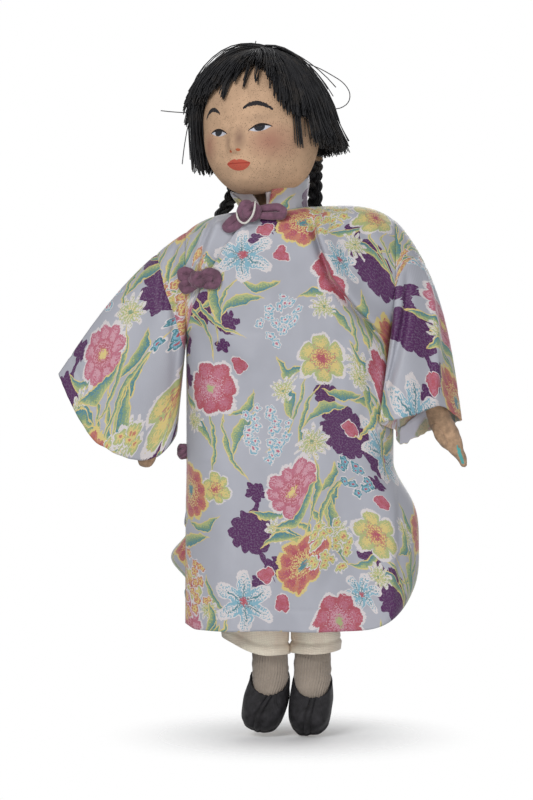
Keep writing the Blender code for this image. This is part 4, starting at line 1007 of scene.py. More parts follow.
def armhole_depth(z, side):
    """How far the armhole's edge is from the side seam at a height."""
    top = shoulder_line(side * ARMHOLE_X)
    middle, half = (top + ARMPIT_Z) / 2.0, (top - ARMPIT_Z) / 2.0
    share = min(abs(z - middle) / half, 1.0)
    return ARMHOLE_HALF_DEPTH * sqrt(1.0 - share * share)


def crease(x, z):
    """How far the creases move the front at a place: each is a valley with a roll that leans over it."""
    here, moved = Vector((x, z)), Vector((0.0, 0.0, 0.0))
    for path, depth, half in CREASES:
        nearest = None
        for step, (start, end) in enumerate(zip(path, path[1:])):
            start, run = Vector(start), Vector(end) - Vector(start)
            along = min(max((here - start).dot(run) / run.length_squared, 0.0), 1.0)
            off = (here - start - run * along).length
            if nearest is None or off < nearest[0]:
                across = Vector((run.y, -run.x)).normalized()
                nearest = (off, (step + along) / (len(path) - 1), across, (here - start).dot(across))
        off, share, across, way = nearest
        off = off if way > 0.0 else -off
        depth *= ease(share * 5.0) * ease((1.0 - share) * 5.0)
        valley = exp(-(off / half) ** 2)
        roll = exp(-((off + 1.7 * half) / (1.2 * half)) ** 2)
        moved.y += depth * (0.8 * valley - 0.8 * roll)
        moved.x += across.x * 0.55 * depth * roll
        moved.z += across.y * 0.55 * depth * roll
    return moved


def rumple(x, z, face):
    """The slight unevenness of thin cloth that hangs loose."""
    broad = noise.noise(Vector((x / 17.0, face * 3.0, z / 26.0)))
    return 1.6 * broad + 0.5 * noise.noise(Vector((x / 6.0, face * 5.0, z / 9.0)))


def hanging_folds(across):
    """The shallow upright folds, which die out at the side seams."""
    return FOLD_DEPTH * 0.5 * sin(across * 7.0 + 1.0) * (1.0 - abs(across) ** 4)


def bodice_point(face, across, down):
    """Gown above the slits: face is -1 in front and 1 behind, across runs -1 to 1, down runs 0 to 1."""
    x = across * (ARMHOLE_X + (GOWN_HALF_WIDTH - ARMHOLE_X) * ease(down))
    top = shoulder_line(x)
    z = top + (SLIT_Z - top) * down
    edge = armhole_depth(z, 1.0 if x > 0.0 else -1.0)
    shelf = min(down / 0.2, 1.0)
    depth = max(GOWN_HALF_DEPTH * (1.0 - (1.0 - shelf) ** 3) ** (1.0 / 3.0), edge)
    sleeved = edge / ARMHOLE_HALF_DEPTH
    turned = sqrt(max(0.0, 1.0 - abs(across) ** 3.2)) * (1.0 - sleeved)
    turned += (1.0 - abs(across) ** 2.4) * sleeved
    y = edge + (depth - edge) * turned
    inward = 1.0 - abs(across) ** 8
    y += hanging_folds(across) * ease((down - 0.45) / 0.4)
    y += rumple(x, z, face) * inward * ease(down / 0.2)
    point = Vector((x, face * (SEAM_GAP + y), z))
    return point + crease(x, z) * inward * ease(down / 0.05) if face < 0.0 else point


def skirt_point(face, across, down):
    """One skirt panel below the slits."""
    bow, flick = ease(sin(pi * min(down * 0.78, 1.0))), exp(-((down - 0.63) / 0.16) ** 2)
    right, left = -GOWN_HALF_WIDTH + 0.4 * down, GOWN_HALF_WIDTH + 0.4 * down
    if face < 0.0:
        right, left = right - FRONT_LEAN * ease(down), left + FRONT_BOW * bow
        rise = FRONT_RISE[0] * max(0.0, (across - 0.42) / 0.58) ** 3
        rise += FRONT_RISE[1] * ease((-across - 0.86) / 0.14)
    else:
        right, left = right - BACK_FLICK * flick, left + BACK_BOW * bow
        rise = BACK_RISE[0 if across < 0.0 else 1] * ease((abs(across) - 0.5) / 0.5)
    x = right + (left - right) * (0.5 + 0.5 * across)
    z = SLIT_Z - down * SKIRT_LENGTH + rise * down
    depth = GOWN_HALF_DEPTH + hanging_folds(across)
    depth += down * (1.5 + FOLD_DEPTH * sin(across * 9.0 + 0.6))
    depth += rumple(x, z, face) * (1.0 - abs(across) ** 6)
    from_hem = (1.0 - down) * SKIRT_LENGTH
    depth -= HEM_STITCH[1] * exp(-((from_hem - HEM_STITCH[0]) / 0.7) ** 2)
    edge = 0.6 * down
    if face < 0.0:
        depth -= 3.0 * ease((x - 44.0) / 2.5) * ease(down / 0.2) * ease((0.93 - down) / 0.15)
    elif across > 0.0:
        edge = 6.0 * ease(down / 0.35)
    y = edge + (depth - edge) * sqrt(max(0.0, 1.0 - abs(across) ** 3.2))
    if face > 0.0:
        curl = ease(2.6 * flick) * ease((-across - 0.82) / 0.18)
        x, y = x + (-43.0 - x) * curl, y * (1.0 - 0.85 * curl)
    return Vector((x, face * (SEAM_GAP + y), z))


def gown_point(face, across, down):
    """One face of the gown from its shoulder line to its hem."""
    if down < BODICE_SHARE:
        return bodice_point(face, across, (down / BODICE_SHARE) ** 1.35)
    return skirt_point(face, across, (down - BODICE_SHARE) / (1.0 - BODICE_SHARE))


def opening_x(z):
    """The curved edge's place at a height."""
    for (x0, z0), (x1, z1) in zip(OPENING, OPENING[1:]):
        if z > z1:
            return x0 + (x1 - x0) * max(0.0, (z0 - z) / (z0 - z1))
    return -ARMHOLE_X


def opening_across(down):
    """The curved edge as a share across the front, in the row that is this far down it."""
    low, high = -1.0, 0.2
    for _ in range(24):
        middle = (low + high) / 2.0
        here = gown_point(-1.0, middle, down)
        low, high = (middle, high) if here.x < opening_x(here.z) else (low, middle)
    return low


def spread(share):
    """Draw columns together towards both ends, where the cloth turns to the back."""
    place = 2.0 * share - 1.0
    return 0.5 * (sin(place * pi / 2.0) + place)


edges = {}


def over_front(share, down):
    """The front from its curved edge to the left side, raised a little along that edge."""
    start = edges.setdefault(down, opening_across(down))
    across = start + (1.0 - start) * (0.5 + 0.5 * spread(share))
    point = gown_point(-1.0, across, down)
    from_edge = (across - start) * ARMHOLE_X
    if start > -0.995:
        point.y -= 0.9 * exp(-from_edge / 5.0)
    return point


def under_front(share, down):
    """The underlap from the right side to a little way behind the front's edge."""
    down = down * UNDERLAP_SHARE
    start = edges.setdefault(down, opening_across(down))
    across = -1.0 + (min(start + UNDERLAP_WIDTH, 1.0) + 1.0) * (0.5 + 0.5 * spread(share))
    point = gown_point(-1.0, across, down)
    point.y += 0.6 * ease((across - start + 0.1) / 0.1)
    return point


def plumb(points, flats):
    """Measure a row of the cut from the middle of the gown, so that the print hangs straight."""
    near = min(range(len(points)), key=lambda i: abs(points[i].x))
    way = 1.0 if points[-1].x > points[0].x else -1.0
    shift = way * points[near].x - flats[near].x
    return [flat + Vector((shift, 0.0)) for flat in flats]


def in_neck_hole(place):
    return hypot(place.x - NECK_X, place.y) < NECK_HOLE and place.z > NECK_HOLE_Z


bm = lay_cloth(over_front, 120, 200, trim=in_neck_hole, lie=plumb)
front = cloth_piece("gown_over_front", bm, printed_satin, SATIN, "printed_rayon", "gown_front", "skirt_front",
                    rests_on=["stuffed_torso"], inside=satin_inside)
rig.blend(front, "torso", "skirt_front", **SKIRT_BEND)
bm = lay_cloth(under_front, 60, 90, trim=in_neck_hole, lie=plumb)
underlap = cloth_piece("gown_under_front", bm, printed_satin, SATIN, "printed_rayon", "gown_underlap",
                       rests_on=["stuffed_torso"], inside=satin_inside)
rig.ride(underlap, "torso")
bm = lay_cloth(lambda share, down: gown_point(1.0, -spread(share), down), 110, 170, trim=in_neck_hole,
               lie=plumb)
back = cloth_piece("gown_whole_back", bm, printed_satin, SATIN, "printed_rayon", "gown_back", "skirt_back",
                   rests_on=["stuffed_torso"], inside=satin_inside)
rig.blend(back, "torso", "skirt_back", **SKIRT_BEND)

# The sleeves: wide bells of the same satin, set into the armholes and turned in at the cuff with a facing.
# The right one is held out to the side, the left one hangs, and each stays on its shoulder as the arm swings.
SLEEVES = {"right": (-1.0, 5.0), "left": (1.0, 8.5)}
# Each cuff once round, from its outer edge by the front to the inner edge and by the back
CUFFS = {"right": ((-100.5, 0.0, 25.0), (-95.1, -6.5, 12.8), (-85.2, -11.3, -2.4), (-70.7, -13.0, -11.0),
                   (-58.3, -11.3, -11.1), (-50.2, -6.5, -2.3), (-48.8, 0.0, 8.0), (-50.2, 6.5, -2.3),
                   (-58.3, 11.3, -11.1), (-70.7, 13.0, -11.0), (-85.2, 11.3, -2.4), (-95.1, 6.5, 12.8),
                   (-100.5, 0.0, 25.0)),
         "left": ((74.6, -1.0, 4.8), (64.5, -13.5, 11.0), (54.0, -20.4, 7.8), (44.0, -21.6, 5.2),
                  (38.0, -18.6, 3.8), (45.4, -9.0, 0.5), (46.6, 3.0, -3.5), (49.0, 9.5, -5.5),
                  (54.0, 13.0, -3.5), (60.0, 14.0, -0.5), (66.5, 11.5, 1.5), (72.0, 6.0, 3.5),
                  (74.6, -1.0, 4.8))}
# Folds of each sleeve: both ends as shares round it and down it, with its depth and half width
SLEEVE_FOLDS = {"right": ((0.3, 0.1, 0.4, 0.75, 1.2, 5.0), (0.14, 0.25, 0.2, 0.95, 1.2, 6.0),
                          (0.1, 0.05, 0.3, 0.2, 1.6, 3.0), (0.05, 0.02, 0.2, 0.26, 1.8, 2.2),
                          (0.2, 0.02, 0.3, 0.34, 1.6, 2.4)),
                "left": ((0.17, 0.2, 0.31, 0.85, 3.2, 3.2), (0.06, 0.3, 0.1, 1.0, -2.2, 2.2),
                         (0.025, 0.35, 0.06, 1.0, 1.2, 2.2))}
SLEEVE_GIRTH = 130.0
SLEEVE_LENGTH = 75.0
CUFF_STITCH = 7.0
RAGGED = 1.1
FACING_TOP = 0.86
FACING_WIDTH = 0.135
FACING_INSET = 0.9
# The seam across each sleeve: how far down it crosses the top, and how much it slants up to the armhole
SHOULDER_SEAM = {"right": (0.18, 0.0), "left": (0.28, 0.85)}
SLEEVE_ROWS = 84
SEAM_ROW = 15.0 / SLEEVE_ROWS
# How far from the sleeve's own place on the cloth the part above its seam is cut
SHOULDER_CUT = (41.0, 57.0)


def shoulder_seam(name, around):
    reach, slant = SHOULDER_SEAM[name]
    return max(reach - slant * min(around, 1.0 - around), 0.03)


def along_seam(name, around, row):
    """How far down a sleeve a row of its cut is, with the rows slanted to follow the seam."""
    seam = shoulder_seam(name, around)
    if row < SEAM_ROW:
        return seam * row / SEAM_ROW
    return 1.0 - (1.0 - seam) * (1.0 - row) / (1.0 - SEAM_ROW)


def sleeve_point(name, around, down, inset=0.0):
    """A place on a sleeve: once round it from the top, and from the armhole down to the cuff."""
    side, bulge = SLEEVES[name]
    angle = 2.0 * pi * around
    top, behind = cos(angle), -sin(angle)
    high = shoulder_line(side * ARMHOLE_X)
    middle_z, half_z = (high + ARMPIT_Z) / 2.0, (high - ARMPIT_Z) / 2.0
    start = Vector((side * (ARMHOLE_X + 0.1), ARMHOLE_HALF_DEPTH * behind, middle_z + half_z * top))
    end = glide(CUFFS[name], around)
    point = start.lerp(end, down)
    swell = bulge * sin(pi * down ** 0.8) * max(0.0, top) ** 0.7
    point.x += side * swell * 0.75
    point.z += swell * 0.55
    wave = FOLD_DEPTH * sin(angle * 5.0 + 0.8)
    wave += 1.3 * noise.noise(Vector((cos(angle), sin(angle), down * 3.0 + side * 7.0)))
    wave *= 1.0 if top > -0.4 or side < 0.0 else 0.3
    point.y += 0.7 * wave * down * behind
    ragged = RAGGED * noise.noise(Vector((5.0 * cos(angle), 5.0 * sin(angle), side * 3.0)))
    point += (end - start).normalized() * ragged * ease((down - 0.75) / 0.25)
    drawn = inset + 0.35 * exp(-(((1.0 - down) * 60.0 - CUFF_STITCH) / 0.8) ** 2)
    drawn += 0.5 * exp(-((down - shoulder_seam(name, around)) / 0.012) ** 2)
    here = Vector((around * SLEEVE_GIRTH, down * SLEEVE_LENGTH))
    for a0, d0, a1, d1, depth, half in SLEEVE_FOLDS[name]:
        first = Vector((a0 * SLEEVE_GIRTH, d0 * SLEEVE_LENGTH))
        run = Vector((a1 * SLEEVE_GIRTH, d1 * SLEEVE_LENGTH)) - first
        along = (here - first).dot(run) / run.length_squared
        off = (here - first).cross(run) / run.length
        drawn += depth * ease(along * 2.5 + 0.3) * ease((1.0 - along) * 2.5 + 0.3) * exp(-(off / half) ** 2)
    middle = Vector((start.lerp(end, down).x, 0.0, middle_z + (end.z - middle_z) * down))
    return point + (middle - point).normalized() * drawn


def sleeve_print(name):
    """The flat cut of a sleeve, spread from the fold along its top: the front one way, the back the other."""
    side = SLEEVES[name][0]
    cuff = CUFFS[name][0]
    high = shoulder_line(side * ARMHOLE_X)
    fold = Vector((cuff[0] - side * ARMHOLE_X, cuff[2] - high)).normalized()
    chest = [bodice_point(-1.0, side * step / 24.0, 0.3) for step in range(25)]
    reach = sum((b - a).length for a, b in zip(chest, chest[1:]))
    shift = Vector((side * (reach - ARMHOLE_X), -high))

    def spread_out(points, flats):
        top = len(points) // 2
        front = (points[0].xz - points[top].xz).normalized()
        ridge = points[top].xz + shift
        back = 2.0 * front.dot(fold) * fold - front
        runs = [flat.x - flats[top].x for flat in flats]
        return [ridge + (front * run if run > 0.0 else back * -run) for run in runs]
    return spread_out


for name, side in SIDES:
    def from_underarm(share, row):
        around = (share + 0.5) % 1.0
        return sleeve_point(name, around, along_seam(name, around, row))

    bm = lay_cloth(from_underarm, 132, SLEEVE_ROWS, joined=True, lie=sleeve_print(name),
                   pieced=(SEAM_ROW, (side * SHOULDER_CUT[0], SHOULDER_CUT[1])))
    sleeve = cloth_piece("bell_sleeve_" + name, bm, printed_satin, SATIN, "printed_rayon", "sleeve_" + name,
                         rests_on=["stuffed_arm_" + name], inside=satin_inside)
    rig.blend(sleeve, "torso", "arm_" + name, **SHOULDER_BEND[name])
    def inside_cuff(around, down):
        return sleeve_point(name, around, FACING_TOP + FACING_WIDTH * down, FACING_INSET)

    bm = lay_cloth(inside_cuff, 132, 14, joined=True)
    facing = cloth_piece("turned_facing_" + name, bm, satin_inside, SATIN, "collar_lining",
                         "cuff_facing_" + name, rests_on=["bell_sleeve_" + name])
    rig.blend(facing, "torso", "arm_" + name, **SHOULDER_BEND[name])

# The collar: a low standing band of satin with a pale lining, sewn into the neck hole. It stands open in a V
# under the chin, and its top gives way as the head turns.
COLLAR_RADIUS = 15.2
COLLAR_HEIGHT = 13.5
COLLAR_FLARE = 4.0
COLLAR_OPEN = (3.0, 40.0)
COLLAR_TURN = (-17.0, -43.0)
COLLAR_TILT = 0.13
COLLAR_SET = 3.2
COLLAR_CLOTH = 0.5
LINING_COLOUR = (0.66, 0.6, 0.6)
# Where the collar bends from the torso to the head, in metres
NECK_BEND = {"start": (0.0, 0.0, 0.094), "end": (0.0, 0.0, 0.109)}


def collar_point(around, down, inset, low):
    """A place on the band, once round from one edge of the V to the other; the lining runs on into the V."""
    up = 1.0 - down
    shown = 1.0 - low
    opening = COLLAR_OPEN[0] + (COLLAR_OPEN[1] * shown - COLLAR_OPEN[0]) * up
    turn = COLLAR_TURN[0] + (COLLAR_TURN[1] * (0.4 + 0.6 * shown) - COLLAR_TURN[0]) * up
    angle = radians(turn + opening + (360.0 - 2.0 * opening) * around)
    front, left = max(0.0, cos(angle)), max(0.0, sin(angle))
    height = low + (COLLAR_HEIGHT - 2.0 * low - 3.0 * front + 2.6 * left) * up
    flare = COLLAR_FLARE * ease((height - COLLAR_HEIGHT * 0.38) / (COLLAR_HEIGHT * 0.62)) * (1.0 - 0.7 * left)
    ripple = 0.5 * noise.noise(Vector((4.0 * cos(angle), 4.0 * sin(angle), up)))
    radius = COLLAR_RADIUS - 0.8 * up * left + flare - inset + ripple
    x = NECK_X + radius * sin(angle)
    base = SHOULDER_Z - COLLAR_SET + COLLAR_TILT * (x - NECK_X)
    return Vector((x, -radius * cos(angle), base + height))


lining, tree, sockets, _, _ = mottled("collar_lining", LINING_COLOUR, 0.75, 0.1, 0.25, 130.0, 0.08)
weave(tree, sockets, add_node(tree, "UVMap", uv_map="cut")[0], 0.6, 0.3)

for name, inset, low, look, slot, node in (
    ("standing_collar", 0.45, 0.0, printed_satin, "printed_rayon", "collar"),
    ("collar_inside", 1.5, 0.7, lining, "collar_lining", "collar_lining"),
):
    bm = lay_cloth(lambda around, down: collar_point(around, down, inset, low), 110, 16)
    bmesh.ops.recalc_face_normals(bm, faces=bm.faces)
    band = cloth_piece(name, bm, look, COLLAR_CLOTH, slot, node, held="stretched",
                       rests_on=["gown_whole_back"])
    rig.blend(band, "torso", "head", **NECK_BEND)

# The closures: soft tubes of mauve crepe, looped and knotted by hand. One frog closes the throat, with a loop
# of white thread round its knot, one the chest, and a single knot closes the slit at the right side.
MAUVE_COLOUR = (0.165, 0.073, 0.115)
THREAD_COLOUR = (0.74, 0.71, 0.66)
TUBE = 1.8
THREAD = 0.45
THROAT = (-17.6, 93.6)
CHEST = (-39.6, 65.0)
SIDE_KNOT = (-46.4, -1.6, -8.6)
# Where the front turns over to the shoulders, above which a frog lies on the collar's foot
SHOULDER_TURN = 90.0
# The paths of each frog's loops, seen from the front and measured from its knot
THROAT_WINGS = (((-1.0, -0.5), (-5.0, -2.0), (-8.6, -4.6), (-9.6, -6.8), (-6.6, -6.6), (-3.6, -4.6),
                 (-1.0, -3.2)),
                ((2.0, 1.4), (7.0, 1.6), (11.6, 2.1), (14.4, 0.8), (13.6, -1.5), (8.0, -1.5), (2.0, -1.6)))
CHEST_WINGS = (((-1.0, 2.2), (-4.4, 3.9), (-6.8, 3.4), (-6.6, 1.2), (-3.8, 0.9), (-1.0, 0.9)),
               ((-1.0, -0.2), (-4.2, -1.0), (-6.4, -2.4), (-5.2, -4.2), (-2.4, -3.4), (0.0, -1.8)),
               ((1.0, 2.0), (5.2, 3.2), (8.4, 1.6), (8.0, -2.0), (4.4, -2.4), (1.0, -1.4)),
               ((0.5, 0.4), (3.0, 0.7), (5.6, 0.4), (6.8, -0.4)))
# The loop of thread in front of the throat's knot
THROAT_LOOP = ((2.6, -2.2, 4.6), (2.5, -3.6, 2.4), (1.9, -4.5, -0.7), (0.6, -4.4, -3.2), (-1.5, -3.6, -5.0),
               (-3.6, -2.8, -4.4), (-4.9, -2.0, -2.4), (-5.4, -1.2, 0.2))
# The ball knots: the radius of a turn, the tube's radius, and how flat the ball is
KNOT = (2.6, 1.45, 0.8)
SIDE_KNOT_FORM = (2.3, 1.4, 0.8)
KNOT_TURNS = (0.0, 60.0, 120.0)
KNOT_TIP = 62.0


def front_y(x, z):
    """Depth of the gown's front at a place seen from the front."""
    top = shoulder_line(x)
    return bodice_point(-1.0, x / ARMHOLE_X, min(max((top - z) / (top - SLIT_Z), 0.05), 1.0)).y


def tube(path, radius, flat=1.0, around=14, along=48):
    """A soft tube of cloth along some points, with the slight folds of its bias."""
    def folds(share, angle):
        return 1.0 + 0.06 * sin(3.0 * angle + 9.0 * share) + 0.05 * sin(40.0 * share + angle)
    return stuffed([(*point, radius, radius * flat) for point in path], around, along, folds)


def round_knot(centre, ring, radius, squash, axis=(0.0, 1.0, 0.0)):
    """A ball knot: three turns of the tube, each tipped across the last, over a small core."""
    shapes = []
    facing = Vector(axis).to_track_quat("Z", "Y").to_matrix().to_4x4()
    for turn in KNOT_TURNS:
        tip = Matrix.Rotation(radians(turn), 4, "Z") @ Matrix.Rotation(radians(KNOT_TIP), 4, "X")
        loop = bmesh.new()
        bmesh.ops.create_circle(loop, radius=radius, segments=10)
        upright = Matrix.Rotation(pi / 2.0, 3, "X")
        bmesh.ops.rotate(loop, cent=(0, 0, 0), matrix=upright, verts=loop.verts)
        bmesh.ops.translate(loop, vec=(ring, 0.0, 0.0), verts=loop.verts)
        bmesh.ops.spin(loop, geom=loop.edges[:] + loop.verts[:], cent=(0, 0, 0), axis=(0, 0, 1),
                       dvec=(0, 0, 0), angle=2.0 * pi, steps=28, use_merge=True)
        bmesh.ops.transform(loop, matrix=tip, verts=loop.verts)
        bmesh.ops.recalc_face_normals(loop, faces=loop.faces)
        shapes.append(loop)
    core = bmesh.new()
    bmesh.ops.create_uvsphere(core, u_segments=16, v_segments=10, radius=ring * 0.9)
    shapes.append(core)
    whole = join(shapes)
    for vert in whole.verts:
        vert.co = facing @ Vector((vert.co.x, vert.co.y, vert.co.z * squash)) + Vector(centre)
        vert.co += noise.noise_vector(vert.co * 0.6) * 0.2
    return whole


mauve_crepe, tree, sockets, place, _ = mottled("mauve_cord", MAUVE_COLOUR, 0.7, 0.3, 0.3, 330.0, 0.35)
crinkle = add_node(tree, "TexNoise", place, None, 1500.0, 4.0, 0.7)["Fac"]
raise_grain(tree, sockets, crinkle, 0.8, 0.35)
white_thread, tree, sockets, place, _ = mottled("white_thread", THREAD_COLOUR, 0.8, 0.2, 0.3, 600.0, 0.15)
ply = add_node(tree, "TexWave", place, 420.0, 1.0, 1.0, bands_direction="DIAGONAL")["Fac"]
raise_grain(tree, sockets, ply, 0.7, 0.2)


def closure(name, bm, look, slot, node):
    fix_on(sew_up(name, bm, look), "torso", slot, node)


for name, (x, z), wings, back_off in (("throat", THROAT, THROAT_WINGS, 0.5),
                                      ("chest", CHEST, CHEST_WINGS, 0.0)):
    shapes = []
    for wing in wings:
        path = []
        for out, up in wing:
            over = front_y(x + out, min(z + up, SHOULDER_TURN))
            level = front_y(x + out * 0.6, 88.0 if name == "throat" else z)
            y = min(over, level) - 1.5 + back_off * max(0.0, z + up - SHOULDER_TURN)
            path.append((x + out, y, z + up))
        shapes.append(tube(path, TUBE, 0.8))
    closure("frog_loops_" + name, join(shapes), mauve_crepe, "mauve_cord", "frog_cord_" + name)
    y = front_y(x, min(z, SHOULDER_TURN)) - 2.6
    shapes = [round_knot((x, y - 0.6, z), *KNOT)]
    if name == "throat":
        ring = [(x + 3.6 * sin(a), y - 1.0 - 0.8 * cos(a), z + 0.4 + 3.4 * cos(a))
                for a in (0.2, 1.3, 2.4, 3.5, 4.6, 5.7, 6.6)]
        shapes.append(tube(ring, 1.7, 0.9))
        arc = [(x + dx, y + dy, z + dz) for dx, dy, dz in THROAT_LOOP]
        closure("throat_loop", tube(arc, THREAD, 1.0, 10, 60), white_thread, "collar_lining", "throat_thread")
    closure("frog_ball_" + name, join(shapes), mauve_crepe, "mauve_cord", "frog_knot_" + name)
side_knot = round_knot(SIDE_KNOT, *SIDE_KNOT_FORM, (1.0, 0.0, 0.0))
closure("frog_ball_side", side_knot, mauve_crepe, "mauve_cord", "frog_knot_side")

# The head: a mask of pressed cloth, stiffened, smoothed with paste and painted a matt skin colour, with its
# features brushed on by hand; painted shade darkens the sides of the nose and the near eyelid. It turns on the
# neck. Face places are measured from the middle of the head.
HEAD_PLACE = Matrix.Translation((-12.0, -2.5, 131.5)) @ Matrix.Rotation(radians(-30.0), 4, "Z") \
    @ Matrix.Rotation(radians(-7.0), 4, "Y")
HEAD_HALF_WIDTH = 25.0
HEAD_HALF_DEPTH = 27.0
HEAD_UP = 31.5
HEAD_DOWN = 29.5
JAW_FORWARD = 9.0
SKIN_COLOUR = (0.6, 0.395, 0.255)
# Soft forms of the face: x, z, half width, half height and rise
FORMS = ((2.0, -9.0, 2.6, 4.6, 2.0), (1.9, -11.6, 3.4, 2.0, 1.3), (1.7, -19.0, 5.2, 2.6, 0.9),
         (-6.6, -3.6, 4.6, 2.6, -0.9), (12.2, -4.4, 4.6, 2.6, -0.9), (-12.0, -12.0, 6.0, 6.0, 0.9),
         (15.0, -13.0, 6.5, 6.0, 0.9), (1.0, -25.0, 5.0, 3.0, 0.8), (1.7, -15.0, 1.2, 1.4, -0.5),
         (2.0, 5.0, 14.0, 4.0, 0.5))
BLUSH = (0.38, 0.17, 0.125)
# Painted shade: darker paint beside the nose and over the near eyelid, where the face falls in shade
NOSE_PAINTED_SHADE = (0.25, 0.15, 0.11)
NOSE_FAR_PAINTED_SHADE = (0.3, 0.19, 0.14)
EYELID_PAINTED_SHADE = (0.27, 0.18, 0.13)
BROW_INK = (0.03, 0.028, 0.03)
EYE_WHITE = (0.6, 0.6, 0.66)
EYE_INK = (0.03, 0.032, 0.038)
LID_INK = (0.022, 0.018, 0.018)
NOSTRIL_RED = (0.5, 0.13, 0.06)
LIP_RED = (0.52, 0.105, 0.07)
LIP_LINE = (0.36, 0.05, 0.035)
PIT_COLOUR = (0.16, 0.1, 0.07)


def head_point(azimuth, polar):
    """A place on the mask, by its angle round from the face and its angle down from the crown."""
    level = cos(polar)
    low, front = max(0.0, -level), max(0.0, cos(azimuth))
    reach = sin(polar) ** (1.0 - 0.2 * low)
    x = HEAD_HALF_WIDTH * reach * sin(azimuth) * (1.0 - 0.1 * low * low)
    y = -HEAD_HALF_DEPTH * reach * cos(azimuth) * (1.0 - 0.1 * low)
    z = (HEAD_UP if level > 0.0 else HEAD_DOWN) * level
    y -= JAW_FORWARD * low + 2.2 * front * front * low * reach
    if y < 0.0:
        for at_x, at_z, wide, tall, rise in FORMS:
            y -= rise * exp(-((x - at_x) / wide) ** 2 - ((z - at_z) / tall) ** 2)
    ear = exp(-((degrees(abs(azimuth)) - 88.0) / 11.0) ** 2 - ((z + 5.0) / 8.0) ** 2)
    nape = 7.5 * low ** 1.5 * exp(-((degrees(azimuth) - 100.0) / 45.0) ** 2)
    return Vector((x * (1.0 + 0.07 * ear) + nape, y + 0.6 * nape, z))


bm = bmesh.new()
bmesh.ops.create_uvsphere(bm, u_segments=180, v_segments=120, radius=1.0)
mask = bm.verts.layers.float_vector.new("mask")
for vert in bm.verts:
    polar = acos(min(max(vert.co.z, -1.0), 1.0))
    here = head_point(atan2(vert.co.x, -vert.co.y), min(max(polar, 0.002), pi - 0.002))
    vert[mask] = here
    vert.co = HEAD_PLACE @ here
bmesh.ops.recalc_face_normals(bm, faces=bm.faces)

painted, tree, sockets = finish("painted_mask", SKIN_COLOUR, 0.85, 0.0, 0.12)
spot = add_node(tree, "Attribute", attribute_name="mask")["Vector"]
x, depth, z = (Reckon(tree, socket) for socket in add_node(tree, "SeparateXYZ", spot))
skin = mottle(tree, sockets, spot, 0.22, *shades(SKIN_COLOUR, 0.1))
grain = Reckon(tree, add_node(tree, "TexNoise", spot, None, 1.6, 2.0)["Fac"])
facing = depth < -6.0


def soft_spot(at_x, at_z, wide, tall, strength):
    """A spot that fades from its middle: airbrushed blush on a cheek, or painted shade by the nose and eyelid."""
    across, up = (x - at_x) / wide, (z - at_z) / tall
    away = (across * across + up * up) ** 0.5
    return Reckon(tree, add_node(tree, "MapRange", away.socket, 0.1, 1.0, strength, 0.0)[0]) * facing


def brow(middle, half, height, slope, bow):
    share = (x - middle) / half
    off = abs(z - share * slope + share * share * bow - height)
    return (off + (grain - 0.5) * 1.2 < share * share * -0.5 + 1.0) * (abs(share) < 1.0)


def eye_open(middle, half, height, tilt):
    """The opening between the lids, and the painted line along the upper lid."""
    share = (x - middle) / half
    room = share * share * -1.0 + 1.0
    base = z - share * tilt - height
    inside = (base < room * 1.45) * (base > room * -1.35)
    lid = (abs(base - room * 1.5) < room * 0.32 + 0.22) * (abs(share) < 1.08)
    return inside, lid


def disc(at_x, at_z, wide, tall):
    across, up = (x - at_x) / wide, (z - at_z) / tall
    return (across * across + up * up) < 1.0


lip = (x - 1.65) / 5.3
lip_room = lip * lip * -1.0 + 1.0
lip_base = z + lip * 0.55 + 18.0
dip = (abs(lip) * -5.0 + 1.0).step("MAXIMUM", 0.0) * 0.5
upper_lip = lip_base + (grain - 0.5) * 0.5 < lip_room * 1.75 - dip
lips = upper_lip * (lip_base > (lip_room.step("MAXIMUM", 0.0) ** 0.75) * -3.2)
mouth_line = (abs(lip_base + 0.1) < 0.22) * (abs(lip) < 0.96)
open_near, lid_near = eye_open(12.2, 4.1, -4.5, 0.4)
open_far, lid_far = eye_open(-6.6, 4.6, -3.7, -1.0)
PAINT = (
    (soft_spot(15.5, -10.5, 10.0, 9.5, 0.75), BLUSH), (soft_spot(-13.0, -8.0, 6.5, 8.0, 0.65), BLUSH),
    # The two spots by the nose and the one over the near eyelid are painted shade; the rest is the doll's own paint
    (soft_spot(4.4, -7.8, 3.2, 6.0, 0.8), NOSE_PAINTED_SHADE), (soft_spot(-1.2, -8.0, 2.2, 5.0, 0.5), NOSE_FAR_PAINTED_SHADE),
    (soft_spot(12.4, 0.2, 6.0, 2.4, 0.3), EYELID_PAINTED_SHADE),
    (brow(11.75, 5.4, 6.3, -0.85, 2.45), BROW_INK), (brow(-9.8, 4.9, 7.2, 0.0, 2.9), BROW_INK),
    (open_near, EYE_WHITE), (open_far, EYE_WHITE),
    (open_near * disc(12.0, -3.9, 2.0, 1.9), EYE_INK), (open_far * disc(-6.8, -3.0, 2.1, 1.9), EYE_INK),
    (lid_near, LID_INK), (lid_far, LID_INK),
    (disc(0.0, -12.9, 0.65, 0.55), NOSTRIL_RED), (disc(3.6, -12.8, 0.85, 0.55), NOSTRIL_RED),
    (lips, LIP_RED), (lips * mouth_line, LIP_LINE),
)
colour = skin
for area, paint in PAINT:
    colour = add_node(tree, "MixRGB", (area * facing).socket, colour, (*paint, 1.0))[0]
pore = Reckon(tree, add_node(tree, "TexVoronoi", spot, None, 1.35)["Distance"])
pits = Reckon(tree, add_node(tree, "TexNoise", spot, None, 0.16, 2.0)["Fac"])
speck = (pore < 0.23) * (pits > 0.43)
colour = add_node(tree, "MixRGB", (speck * 0.7).socket, colour, (*PIT_COLOUR, 1.0))[0]
tree.links.new(colour, sockets["Base Color"])
linen = add_node(tree, "TexWave", spot, 0.55, 1.5, 2.0, bands_direction="X")["Fac"]
rough = (Reckon(tree, linen) * 0.4 + grain * 0.6 - speck).socket
raise_grain(tree, sockets, rough, 0.35, 0.25)
fix_on(sew_up("mask_head", bm, painted), "head", "painted_mask", "head")

